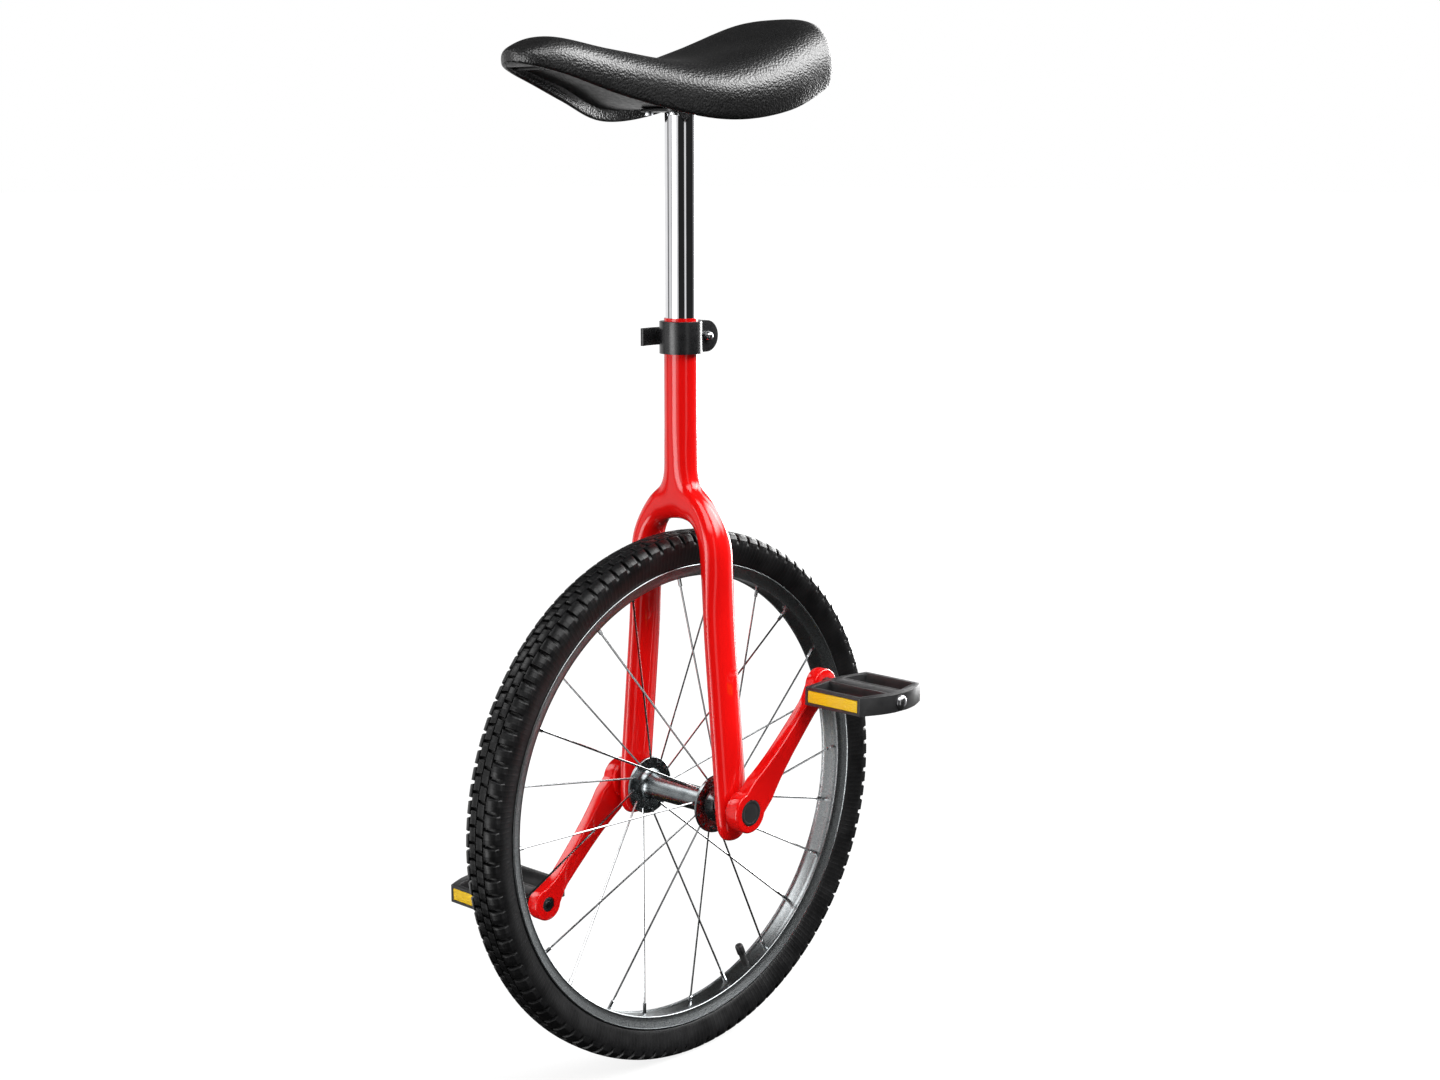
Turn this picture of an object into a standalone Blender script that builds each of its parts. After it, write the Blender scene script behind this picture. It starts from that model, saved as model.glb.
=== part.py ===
"""Unicycle: a spoked wheel, a red fork frame, a quick-release seat post and a saddle.

Metres, +Z up. The origin is the point where the tyre meets the ground. The axle runs along X and
the rider faces -Y, so +X is the rider's left. The left crank points up and to the rear.
"""

import math

import bmesh
import bpy
from mathutils import Matrix, Vector

# Wheel
WHEEL_R = 0.254
WHEEL_SEGMENTS = 48
CROWN_HALF = 0.0095
TYRE_HALF_WIDTH = 0.0195
RIM_FLANGE_R = 0.2238
RIM_FLANGE_HALF = 0.0154
RIM_WEB_R = 0.2128
RIM_WEB_HALF = 0.0110
SPOKE_COUNT = 24
SPOKE_R = 0.0010
FIRST_SPOKE_DEG = 1.8
SPOKE_TRAIL_DEG = -16.0
SPOKE_RIM_X = 0.0020
NIPPLE_R = 0.0018
NIPPLE_HOLE_R = 0.0024
NIPPLE_INNER_R = 0.2025
NIPPLE_OUTER_R = 0.2160
TUBE_R = 0.0098
TUBE_WALL = 0.0010
VALVE_DEG = 294.5
VALVE_HOLE_R = 0.0040

# Hub, axle and cranks
FLANGE_X = 0.0447
FLANGE_HALF = 0.0015
FLANGE_R = 0.0275
HUB_HOLE_CIRCLE_R = 0.0235
HUB_HOLE_R = 0.0014
BARREL_R = 0.0115
AXLE_R = 0.0075
AXLE_HALF = 0.0835
AXLE_DRILL_R = 0.0042
AXLE_DRILL_DEPTH = 0.016
BEARING_R = 0.0130
BEARING_HALF = 0.0040
CRANK_LENGTH = 0.1455
CRANK_DEG = 45.3
CRANK_IN_X = 0.0775
CRANK_OUT_X = 0.0905
CRANK_BOSS_IN_X = 0.0750
CRANK_BOSS_R = 0.0195
CRANK_END_R = 0.0160
CRANK_NECK_HALF = 0.0083
CAP_R = 0.0122
CAP_SEAT_X = 0.0840
CRANK_EYE_R = 0.0073

# Pedals
PEDAL_IN_X = 0.1038
PEDAL_OUT_X = 0.1703
PEDAL_IN_BOW = 0.0058
PEDAL_OUT_BOW = 0.0128
PEDAL_HALF_LENGTH = 0.0437
PEDAL_HALF_THICK = 0.0085
PEDAL_RAIL = 0.0052
PEDAL_WEB_HALF = 0.0105
PEDAL_AXLE_R = 0.0060
POCKET_DEPTH = 0.0022
REFLECTOR_HALF = 0.0305
REFLECTOR_HALF_TALL = 0.0060

# Frame
NECK_R = 0.0156
NECK_TOP_Z = 0.7065
NECK_BORE_R = 0.0144
NECK_BORE_LOW_Z = 0.548
LEG_AXLE_X = 0.0648
LEG_SHOULDER_X = 0.0430
LEG_SHOULDER_Z = 0.490
LEG_LOW_Z = 0.2215
LEG_HALF_X = 0.0095
LEG_HALF_Y = 0.0185

# Seat clamp
CLAMP_LOW_Z = 0.674
CLAMP_TOP_Z = 0.7035
CLAMP_R = 0.01975
CLAMP_EAR_HALF = 0.0075
CLAMP_EAR_Y = 0.0268
SKEWER_R = 0.0022
LEVER_PIVOT_X = -0.0146
LEVER_BOSS_R = 0.0065
LEVER_HALF_TALL = 0.0083

# Seat post and saddle
POST_R = 0.0141
POST_WALL = 0.0016
POST_LOW_Z = 0.5915
POST_TOP_Z = 0.8914
BRACKET_HALF_X = 0.024
BRACKET_HALF_Y = 0.032
PLATE_THICK = 0.0030
SADDLE_FRONT_Y = -0.203
SADDLE_REAR_Y = 0.153
SADDLE_RECESS = 0.0152
SADDLE_SKIRT = 0.0060
SKIRT_TAPER = 0.97
# Down the saddle from nose to tail: share of the length, half width, then top, edge and skirt heights.
SADDLE_STATIONS = (
    (0.00, 0.0350, 0.9444, 0.9387, 0.9270),
    (0.10, 0.0368, 0.9536, 0.9309, 0.9192),
    (0.28, 0.0517, 0.9458, 0.9229, 0.9000),
    (0.50, 0.0833, 0.9396, 0.9185, 0.8833),
    (0.72, 0.0913, 0.9611, 0.9206, 0.8916),
    (0.90, 0.0836, 0.9811, 0.9294, 0.9158),
    (1.00, 0.0800, 0.9822, 0.9453, 0.9338),
)

GAP = 0.0003
AXLE_Z = WHEEL_R
CLAMP_MIDDLE_Z = (CLAMP_LOW_Z + CLAMP_TOP_Z) / 2
PARTS = "unicycle"
CUTTERS = "cutters"


# Helpers


def clear_scene():
    for obj in list(bpy.data.objects):
        bpy.data.objects.remove(obj, do_unlink=True)
    for name in (PARTS, CUTTERS):
        collection = bpy.data.collections.new(name)
        bpy.context.scene.collection.children.link(collection)
    bpy.data.collections[CUTTERS].hide_render = True


def material(name, color, roughness, metallic=0.0):
    found = bpy.data.materials.get(name)
    if found:
        return found
    made = bpy.data.materials.new(name)
    made.use_nodes = True
    shader = made.node_tree.nodes["Principled BSDF"]
    shader.inputs["Base Color"].default_value = (*color, 1.0)
    shader.inputs["Roughness"].default_value = roughness
    shader.inputs["Metallic"].default_value = metallic
    return made


def black_plastic():
    return material("black_plastic", (0.020, 0.020, 0.021), 0.45)


def black_metal():
    return material("black_metal", (0.022, 0.022, 0.024), 0.35, 0.6)


def red_paint():
    return material("red_paint", (0.75, 0.012, 0.012), 0.18)


def chrome():
    return material("chrome", (0.80, 0.80, 0.82), 0.06, 1.0)


def steel():
    return material("steel", (0.55, 0.56, 0.57), 0.30, 1.0)


def dark_steel():
    return material("dark_steel", (0.18, 0.20, 0.21), 0.35, 1.0)


def rim_alloy():
    return material("rim_alloy", (0.33, 0.35, 0.36), 0.40, 1.0)


def rubber():
    return material("rubber", (0.016, 0.016, 0.017), 0.75)


def vinyl():
    return material("vinyl", (0.018, 0.018, 0.019), 0.42)


def amber():
    return material("amber", (0.85, 0.50, 0.03), 0.25)


def keep(obj, paint):
    """Files an object under the parts, with its own material and smooth round faces."""
    bpy.data.collections[PARTS].objects.link(obj)
    obj.data.materials.append(paint)
    obj.data.shade_smooth()
    obj.data.set_sharp_from_angle(angle=math.radians(35))
    return obj


def renamed(obj, name):
    obj.name = name
    obj.data.name = name
    return obj


def turns_about(axis_name, place, names, parent=None):
    """Parents the named objects, where they stand, to an empty on the axis that they move about."""
    empty = bpy.data.objects.new(axis_name, None)
    bpy.data.collections[PARTS].objects.link(empty)
    empty.empty_display_size = 0.02
    empty.location = place
    if parent:
        empty.parent = parent
        empty.matrix_parent_inverse = Matrix.Translation(parent.location).inverted()
    for name in names:
        obj = bpy.data.objects[name]
        obj.parent = empty
        obj.matrix_parent_inverse = Matrix.Translation(place).inverted()
    return empty


def object_from_bmesh(name, bm):
    mesh = bpy.data.meshes.new(name)
    bm.to_mesh(mesh)
    bm.free()
    return bpy.data.objects.new(name, mesh)


def baked(obj):
    """A new object holding the evaluated mesh of this one in world space; the old one is removed."""
    scratch = bpy.context.scene.collection
    if not obj.users_collection:
        scratch.objects.link(obj)
    bpy.context.view_layer.update()
    graph = bpy.context.evaluated_depsgraph_get()
    mesh = bpy.data.meshes.new_from_object(obj.evaluated_get(graph))
    mesh.transform(obj.matrix_world)
    name = obj.name
    bpy.data.objects.remove(obj, do_unlink=True)
    bm = bmesh.new()
    bm.from_mesh(mesh)
    bmesh.ops.remove_doubles(bm, verts=bm.verts, dist=1e-6)
    bmesh.ops.recalc_face_normals(bm, faces=bm.faces)
    bm.to_mesh(mesh)
    bm.free()
    return bpy.data.objects.new(name, mesh)


def as_cutter(obj):
    """Files an object under the cutters, out of the render."""
    bpy.data.collections[CUTTERS].objects.link(obj)
    obj.hide_render = True
    obj.display_type = "WIRE"
    return obj


def boolean(obj, other, operation="DIFFERENCE"):
    """Applies one exact Boolean and gives the joined or cut mesh back as an object."""
    bpy.context.scene.collection.objects.link(obj)
    as_cutter(other)
    modifier = obj.modifiers.new("boolean", "BOOLEAN")
    modifier.operation = operation
    modifier.object = other
    result = baked(obj)
    bpy.data.objects.remove(other, do_unlink=True)
    return result


def shape_of(pieces, operation="UNION"):
    """The first piece with the others joined to it or cut from it."""
    result = pieces[0]
    for piece in pieces[1:]:
        result = boolean(result, piece, operation)
    return result


def box(low, high, name="box"):
    bm = bmesh.new()
    bmesh.ops.create_cube(bm, size=1.0)
    low = Vector(low)
    high = Vector(high)
    for vert in bm.verts:
        vert.co = Vector(low[i] + (vert.co[i] + 0.5) * (high[i] - low[i]) for i in range(3))
    return object_from_bmesh(name, bm)


def rod(start, end, radius, segments=16, name="rod"):
    """A plain cylinder between two points."""
    start = Vector(start)
    end = Vector(end)
    along = end - start
    turn = along.to_track_quat("Z", "Y").to_matrix().to_4x4()
    place = Matrix.Translation((start + end) / 2) @ turn
    bm = bmesh.new()
    bmesh.ops.create_cone(
        bm,
        cap_ends=True,
        segments=segments,
        radius1=radius,
        radius2=radius,
        depth=along.length,
        matrix=place,
    )
    return object_from_bmesh(name, bm)


def merged(pieces, name="merged"):
    """Separate closed shapes in one mesh, for a cutter with many bodies that don't meet."""
    bm = bmesh.new()
    for piece in pieces:
        bm.from_mesh(piece.data)
        bpy.data.objects.remove(piece, do_unlink=True)
    return object_from_bmesh(name, bm)


def turned(name, profile, segments, axis="X", centre=(0.0, 0.0, 0.0), flats=False, closed=True):
    """Turns (along, radius) points about an axis through centre.

    A closed profile makes a ring. An open one starts and ends on the axis. With flats, the stated
    radii are those of the flat sides, and one side is centred straight below the axis.
    """
    area = 0.0
    for (a0, r0), (a1, r1) in zip(profile, profile[1:] + profile[:1]):
        area += r0 * a1 - r1 * a0
    if area > 0:
        profile = profile[::-1]
    grow = 1.0 / math.cos(math.pi / segments) if flats else 1.0
    phase = math.pi / segments if flats else 0.0
    bm = bmesh.new()
    verts = []
    for along, radius in profile:
        r = radius * grow
        verts.append(bm.verts.new((r * math.cos(phase), r * math.sin(phase), along)))
    for first, second in zip(verts, verts[1:]):
        bm.edges.new((first, second))
    if closed:
        bm.edges.new((verts[-1], verts[0]))
    obj = object_from_bmesh(name, bm)
    screw = obj.modifiers.new("turn", "SCREW")
    screw.steps = segments
    screw.render_steps = segments
    screw.use_merge_vertices = True
    screw.merge_threshold = 1e-6
    obj.location = centre
    if axis == "X":
        obj.rotation_euler = (0.0, math.radians(90), 0.0)
    return baked(obj)


def plate(name, outline, low, high, axis="Z"):
    """A flat outline given a thickness, from low to high along an axis.

    The outline's points are (y, z) for axis X and (x, y) for axis Z.
    """
    data = bpy.data.curves.new(name, "CURVE")
    data.dimensions = "2D"
    data.fill_mode = "BOTH"
    data.extrude = (high - low) / 2
    spline = data.splines.new("POLY")
    spline.points.add(len(outline) - 1)
    for point, (u, v) in zip(spline.points, outline):
        point.co = (u, v, 0.0, 1.0)
    spline.use_cyclic_u = True
    obj = bpy.data.objects.new(name, data)
    middle = (high + low) / 2
    if axis == "X":
        # local x becomes world Y, local y becomes world Z, local z becomes world X
        turn = Matrix(((0, 0, 1, middle), (1, 0, 0, 0), (0, 1, 0, 0), (0, 0, 0, 1)))
    else:
        turn = Matrix.Translation((0.0, 0.0, middle))
    obj.matrix_world = turn
    return baked(obj)


def arc(centre, radius, start_deg, end_deg, steps):
    """Points on a circle from one angle to another, both ends included."""
    points = []
    for step in range(steps + 1):
        angle = math.radians(start_deg + (end_deg - start_deg) * step / steps)
        points.append((centre[0] + radius * math.cos(angle), centre[1] + radius * math.sin(angle)))
    return points


def wheel_point(x, radius, degrees):
    """A point beside the axle: its X, its distance from the axle and its angle above +Y."""
    angle = math.radians(degrees)
    return Vector((x, radius * math.cos(angle), AXLE_Z + radius * math.sin(angle)))


def mirrored_profile(half):
    """A closed section from its right half, which runs from the middle out and back."""
    return half + [(-along, radius) for along, radius in reversed(half)]


# Wheel


def tyre():
    crown = WHEEL_R
    half = [
        (CROWN_HALF, crown),
        (0.0155, crown - 0.0035),
        (TYRE_HALF_WIDTH, crown - 0.0120),
        (0.0180, crown - 0.0215),
        (0.0140, crown - 0.0290),
        (0.0122, crown - 0.0335),
        (0.0100, crown - 0.0335),
        (0.0110, crown - 0.0285),
        (0.0160, crown - 0.0200),
        (0.0165, crown - 0.0125),
        (0.0110, crown - 0.0060),
    ]
    made = turned("tyre", mirrored_profile(half), WHEEL_SEGMENTS, centre=(0, 0, AXLE_Z), flats=True)
    return keep(made, rubber())


def inner_tube():
    """The inflated tube, open along the rim tape so that its inside isn't sealed."""
    centre_r = WHEEL_R - 0.0165
    outer = arc((0.0, centre_r), TUBE_R, -60, 240, 5)
    inner = arc((0.0, centre_r), TUBE_R - TUBE_WALL, 240, -60, 5)
    made = turned("inner_tube", outer + inner, WHEEL_SEGMENTS, centre=(0, 0, AXLE_Z), flats=True)
    return keep(made, rubber())


def spoke_ends(index):
    """The hub hole and the rim hole of one spoke. Even spokes go to the left flange."""
    side = 1 if index % 2 == 0 else -1
    rim_deg = FIRST_SPOKE_DEG + index * 360.0 / SPOKE_COUNT
    hub = wheel_point(side * FLANGE_X, HUB_HOLE_CIRCLE_R, rim_deg + SPOKE_TRAIL_DEG)
    elbow = hub - Vector((side * (FLANGE_HALF + 0.0015), 0, 0))
    along = wheel_point(side * SPOKE_RIM_X, NIPPLE_OUTER_R, rim_deg) - elbow
    return side, hub, elbow, along.normalized(), along.length


def rim():
    half = [
        (RIM_WEB_HALF, RIM_WEB_R + 0.0009),
        (0.0128, 0.2165),
        (RIM_FLANGE_HALF, RIM_FLANGE_R - 0.0008),
        (RIM_FLANGE_HALF - 0.0006, RIM_FLANGE_R),
        (RIM_FLANGE_HALF - 0.0016, RIM_FLANGE_R - 0.0008),
        (0.0112, 0.2166),
        (0.0095, 0.2150),
    ]
    made = turned("rim", mirrored_profile(half), WHEEL_SEGMENTS, centre=(0, 0, AXLE_Z), flats=True)
    cutters = []
    for index in range(SPOKE_COUNT):
        _side, _hub, elbow, along, length = spoke_ends(index)
        start = elbow + along * (length - 0.012)
        end = elbow + along * (length + 0.006)
        cutters.append(rod(start, end, NIPPLE_HOLE_R, 6))
    valve_low = wheel_point(0, 0.206, VALVE_DEG)
    valve_high = wheel_point(0, 0.221, VALVE_DEG)
    cutters.append(rod(valve_low, valve_high, VALVE_HOLE_R, 8))
    return keep(boolean(made, merged(cutters)), rim_alloy())


def rim_tape():
    section = [(0.0085, 0.2168), (0.0085, 0.2176), (-0.0085, 0.2176), (-0.0085, 0.2168)]
    made = turned("rim_tape", section, WHEEL_SEGMENTS, centre=(0, 0, AXLE_Z), flats=True)
    hole = rod(wheel_point(0, 0.210, VALVE_DEG), wheel_point(0, 0.222, VALVE_DEG), VALVE_HOLE_R, 8)
    return keep(boolean(made, hole), rubber())


def valve():
    def along(radius):
        return wheel_point(0, radius, VALVE_DEG)

    foot = rod(along(0.2183), along(0.2196), 0.0060, 12)
    stem = rod(along(0.1990), along(0.2190), 0.0033, 12)
    keep(renamed(shape_of([foot, stem]), "valve_stem"), rubber())
    keep(rod(along(0.1880), along(0.1990 - GAP), 0.0042, 12, name="valve_cap"), black_plastic())


def spoke(index):
    """One spoke: head, elbow, shank and nipple along a bevelled line whose radius steps."""
    side, hub, elbow, along, length = spoke_ends(index)
    out = Vector((side, 0, 0))
    head_face = hub + out * (FLANGE_HALF + GAP)
    nipple_start = length - (NIPPLE_OUTER_R - NIPPLE_INNER_R)
    points = (
        (head_face + out * 0.0014, 1.9),
        (head_face, 1.9),
        (head_face - out * 0.0001, 1.0),
        (elbow, 1.0),
        (elbow + along * nipple_start, 1.0),
        (elbow + along * (nipple_start + 0.0004), NIPPLE_R / SPOKE_R),
        (elbow + along * length, NIPPLE_R / SPOKE_R),
    )
    data = bpy.data.curves.new("spoke", "CURVE")
    data.dimensions = "3D"
    data.bevel_depth = SPOKE_R
    data.bevel_resolution = 1
    data.use_fill_caps = True
    spline = data.splines.new("POLY")
    spline.points.add(len(points) - 1)
    for point, (place, scale) in zip(spline.points, points):
        point.co = (*place, 1.0)
        point.radius = scale
    made = baked(bpy.data.objects.new(f"spoke_{index + 1:02d}", data))
    return keep(made, steel())


def hub_shell():
    inner = FLANGE_X - FLANGE_HALF
    outer = FLANGE_X + FLANGE_HALF
    bore = AXLE_R + GAP
    half = [
        (0.0, BARREL_R),
        (inner - 0.008, BARREL_R),
        (inner, 0.0150),
        (inner, FLANGE_R),
        (outer, FLANGE_R),
        (outer, 0.0150),
        (0.0525, 0.0120),
        (0.0525, bore),
    ]
    profile = half + [(-along, radius) for along, radius in reversed(half[1:])]
    made = turned("hub_shell", profile, 30, centre=(0, 0, AXLE_Z))
    cutters = []
    for index in range(SPOKE_COUNT):
        _side, hub, _elbow, _along, _length = spoke_ends(index)
        reach = Vector((FLANGE_HALF + 0.001, 0, 0))
        cutters.append(rod(hub - reach, hub + reach, HUB_HOLE_R, 6))
    return keep(boolean(made, merged(cutters)), dark_steel())


def axle():
    """The spindle, drilled at each end for its crank bolt."""
    solid = rod((-AXLE_HALF, 0, AXLE_Z), (AXLE_HALF, 0, AXLE_Z), AXLE_R, 24)
    for side in (1, -1):
        deep = (side * (AXLE_HALF - AXLE_DRILL_DEPTH), 0, AXLE_Z)
        mouth = (side * (AXLE_HALF + 0.01), 0, AXLE_Z)
        solid = boolean(solid, rod(deep, mouth, AXLE_DRILL_R, 12))
    return keep(renamed(solid, "axle"), steel())


def bearing(side, name):
    low = LEG_AXLE_X - BEARING_HALF
    high = LEG_AXLE_X + BEARING_HALF
    ring = [(low, BEARING_R), (high, BEARING_R), (high, AXLE_R + GAP), (low, AXLE_R + GAP)]
    section = [(side * along, radius) for along, radius in ring]
    return keep(turned(name, section, 24, centre=(0, 0, AXLE_Z)), steel())


# Cranks and pedals


def crank_direction(side):
    degrees = CRANK_DEG if side > 0 else CRANK_DEG + 180.0
    return math.cos(math.radians(degrees)), math.sin(math.radians(degrees)), degrees


def crank_outline(degrees):
    """The arm seen along the axle: a large round end, a taper and a small round end."""
    sides = (
        (0.030, 0.0152),
        (0.048, 0.0122),
        (CRANK_LENGTH - 0.046, CRANK_NECK_HALF + 0.0004),
        (CRANK_LENGTH - 0.028, CRANK_NECK_HALF),
        (CRANK_LENGTH - 0.017, CRANK_NECK_HALF + 0.0018),
    )
    local = arc((0.0, 0.0), CRANK_BOSS_R, 308, 52, 14)
    local += sides
    local += arc((CRANK_LENGTH, 0.0), CRANK_END_R, 128, -128, 14)
    local += [(u, -v) for u, v in reversed(sides)]
    cos = math.cos(math.radians(degrees))
    sin = math.sin(math.radians(degrees))
    return [(u * cos - v * sin, AXLE_Z + u * sin + v * cos) for u, v in local]


def crank(side, name):
    cos, sin, degrees = crank_direction(side)
    faces = sorted((side * CRANK_IN_X, side * CRANK_OUT_X))
    arm = plate(name, crank_outline(degrees), faces[0], faces[1], axis="X")
    boss = rod((side * CRANK_BOSS_IN_X, 0, AXLE_Z), (side * (CRANK_IN_X + 0.003), 0, AXLE_Z), 0.0188, 24)
    body = boolean(arm, boss, "UNION")
    bore = rod((side * 0.07, 0, AXLE_Z), (side * 0.10, 0, AXLE_Z), AXLE_R + GAP, 24)
    seat = rod((side * CAP_SEAT_X, 0, AXLE_Z), (side * 0.10, 0, AXLE_Z), CAP_R + GAP, 24)
    y = CRANK_LENGTH * cos
    z = AXLE_Z + CRANK_LENGTH * sin
    eye = rod((side * 0.07, y, z), (side * 0.10, y, z), CRANK_EYE_R, 20)
    for cutter in (bore, seat, eye):
        body = boolean(body, cutter)
    return keep(renamed(body, name), red_paint())


def crank_bolt(side, name):
    shank_r = AXLE_DRILL_R - 0.0004
    head_in_x = CAP_SEAT_X + 0.0002
    shank = rod((side * 0.0720, 0, AXLE_Z), (side * (head_in_x + GAP), 0, AXLE_Z), shank_r, 12)
    head = rod((side * head_in_x, 0, AXLE_Z), (side * (head_in_x + 0.0034), 0, AXLE_Z), 0.0085, 6)
    return keep(renamed(boolean(head, shank, "UNION"), name), steel())


def crank_cap(side, name):
    profile = [(side * 0.0912, 0.0), (side * 0.0908, CAP_R - 0.0012), (side * 0.0900, CAP_R)]
    profile += [(side * 0.0880, CAP_R), (side * 0.0880, 0.0)]
    return keep(turned(name, profile, 24, centre=(0, 0, AXLE_Z), closed=False), black_plastic())


def pedal_place(side):
    cos, sin, _degrees = crank_direction(side)
    return CRANK_LENGTH * cos, AXLE_Z + CRANK_LENGTH * sin


def pedal_outline():
    """The pedal from above, as (distance from the wheel's middle, y), with both ends bowed out."""
    outer = PEDAL_OUT_X + PEDAL_OUT_BOW
    inner = PEDAL_IN_X - PEDAL_IN_BOW
    quarter = [
        (PEDAL_IN_X, PEDAL_HALF_LENGTH),
        (PEDAL_OUT_X, PEDAL_HALF_LENGTH),
        (PEDAL_OUT_X + 0.72 * PEDAL_OUT_BOW, 0.56 * PEDAL_HALF_LENGTH),
        (outer, 0.20 * PEDAL_HALF_LENGTH),
    ]
    mirrored = [(x, -y) for x, y in reversed(quarter)]
    inner_end = [(inner, -0.30 * PEDAL_HALF_LENGTH), (inner, 0.30 * PEDAL_HALF_LENGTH)]
    return quarter + mirrored + inner_end


def pedal_slot(end):
    """One of the two through slots, ahead of or behind the axle's web."""
    near = PEDAL_WEB_HALF
    far = PEDAL_HALF_LENGTH - PEDAL_RAIL
    points = [
        (PEDAL_IN_X + 0.0045, far),
        (PEDAL_OUT_X - 0.0045, far),
        (PEDAL_OUT_X + 0.0030, near),
        (PEDAL_IN_X + 0.0010, near),
    ]
    return [(x, end * y) for x, y in points]


def pedal_body(side, name):
    y0, z0 = pedal_place(side)
    low = z0 - PEDAL_HALF_THICK
    high = z0 + PEDAL_HALF_THICK

    def placed(points):
        return [(side * x, y0 + y) for x, y in points]

    body = plate(name, placed(pedal_outline()), low, high)
    for end in (1, -1):
        body = boolean(body, plate("slot", placed(pedal_slot(end)), low - 0.01, high + 0.01))
    bore = rod((side * 0.09, y0, z0), (side * 0.20, y0, z0), PEDAL_AXLE_R + GAP, 16)
    body = boolean(body, bore)
    middle = (PEDAL_IN_X + PEDAL_OUT_X) / 2
    for end in (1, -1):
        ys = sorted((y0 + end * (PEDAL_HALF_LENGTH - POCKET_DEPTH), y0 + end * (PEDAL_HALF_LENGTH + 0.01)))
        xs = sorted((side * (middle - REFLECTOR_HALF), side * (middle + REFLECTOR_HALF)))
        low_corner = (xs[0], ys[0], z0 - REFLECTOR_HALF_TALL)
        high_corner = (xs[1], ys[1], z0 + REFLECTOR_HALF_TALL)
        body = boolean(body, box(low_corner, high_corner))
    return keep(renamed(body, name), black_plastic())


def reflector(side, end, name):
    y0, z0 = pedal_place(side)
    middle = (PEDAL_IN_X + PEDAL_OUT_X) / 2
    back = PEDAL_HALF_LENGTH - POCKET_DEPTH + GAP
    ys = sorted((y0 + end * back, y0 + end * (PEDAL_HALF_LENGTH - 0.0002)))
    xs = sorted((side * (middle - REFLECTOR_HALF + GAP), side * (middle + REFLECTOR_HALF - GAP)))
    half = REFLECTOR_HALF_TALL - GAP
    return keep(box((xs[0], ys[0], z0 - half), (xs[1], ys[1], z0 + half), name), amber())


def pedal_axle(side, name):
    """The pedal's spindle: a threaded end in the crank, a wrench collar and the running length."""
    y0, z0 = pedal_place(side)
    stations = [
        (0.0778, 0.0),
        (0.0778, 0.0070),
        (0.0908, 0.0070),
        (0.0908, 0.0082),
        (0.0955, 0.0082),
        (0.0955, PEDAL_AXLE_R),
        (0.1740, PEDAL_AXLE_R),
        (0.1740, 0.0),
    ]
    profile = [(side * along, radius) for along, radius in stations]
    return keep(turned(name, profile, 16, centre=(0, y0, z0), closed=False), steel())


def pedal_cap(side, name):
    """The domed plug that closes the pedal's outer end."""
    y0, z0 = pedal_place(side)
    outer = PEDAL_OUT_X + PEDAL_OUT_BOW
    stations = [
        (0.1746, 0.0),
        (0.1746, PEDAL_AXLE_R - 0.0002),
        (outer + GAP, PEDAL_AXLE_R - 0.0002),
        (outer + GAP, 0.0066),
        (outer + 0.0016, 0.0062),
        (outer + 0.0034, 0.0036),
        (outer + 0.0040, 0.0),
    ]
    profile = [(side * along, radius) for along, radius in stations]
    return keep(turned(name, profile, 16, centre=(0, y0, z0), closed=False), chrome())


# Frame


def frame():
    """One welded frame: the neck that holds the seat post, the crown and two flattened legs."""
    swell = 1 / 0.93  # a smoothed square section ends up this much smaller than its cage
    neck = NECK_R * swell
    leg_x = LEG_HALF_X * swell
    leg_y = LEG_HALF_Y * swell
    bm = bmesh.new()
    sizes = []

    def station(x, z, half_x, half_y, before=None):
        vert = bm.verts.new((x, 0.0, z))
        sizes.append((half_x, half_y))
        if before is not None:
            bm.edges.new((before, vert))
        return vert

    top = station(0, NECK_TOP_Z + 0.03, neck, neck)
    middle = station(0, 0.640, neck, neck, top)
    low_neck = station(0, 0.576, neck, neck, middle)
    crown = station(0, 0.529, neck * 1.28, neck * 1.10, low_neck)
    for side in (1, -1):
        splay = (LEG_AXLE_X - LEG_SHOULDER_X) / (LEG_SHOULDER_Z - AXLE_Z)
        bend = station(side * 0.0320, 0.5290, neck, 0.0150 * swell, crown)
        shoulder_x = side * (LEG_SHOULDER_X + 0.0020)
        shoulder = station(shoulder_x, 0.5030, 0.0172 * swell, 0.0128 * swell, bend)
        thigh = station(side * (LEG_SHOULDER_X + 0.0040), 0.455, leg_y, leg_x * 1.1, shoulder)
        shin = station(side * (LEG_AXLE_X - splay * 0.05), AXLE_Z + 0.05, leg_y, leg_x, thigh)
        ankle = station(side * LEG_AXLE_X, AXLE_Z - 0.011, leg_y, leg_x, shin)
        station(side * (LEG_AXLE_X + 0.0010), LEG_LOW_Z - 0.0005, leg_y * 0.74, leg_x * 0.85, ankle)
    obj = object_from_bmesh("frame", bm)
    skin = obj.modifiers.new("tubes", "SKIN")
    skin.branch_smoothing = 0.6
    for data, (half_x, half_y) in zip(obj.data.skin_vertices[0].data, sizes):
        data.radius = (half_x, half_y)
    smooth = obj.modifiers.new("round", "SUBSURF")
    smooth.levels = 2
    smooth.render_levels = 2
    body = baked(obj)
    top_cut = box((-0.05, -0.05, NECK_TOP_Z), (0.05, 0.05, NECK_TOP_Z + 0.1))
    bore = rod((0, 0, NECK_BORE_LOW_Z), (0, 0, NECK_TOP_Z + 0.05), NECK_BORE_R, 32)
    axle_bore = rod((-0.1, 0, AXLE_Z), (0.1, 0, AXLE_Z), BEARING_R + GAP, 24)
    for cutter in (top_cut, bore, axle_bore):
        body = boolean(body, cutter)
    return keep(renamed(body, "frame"), red_paint())


# Seat clamp


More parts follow.
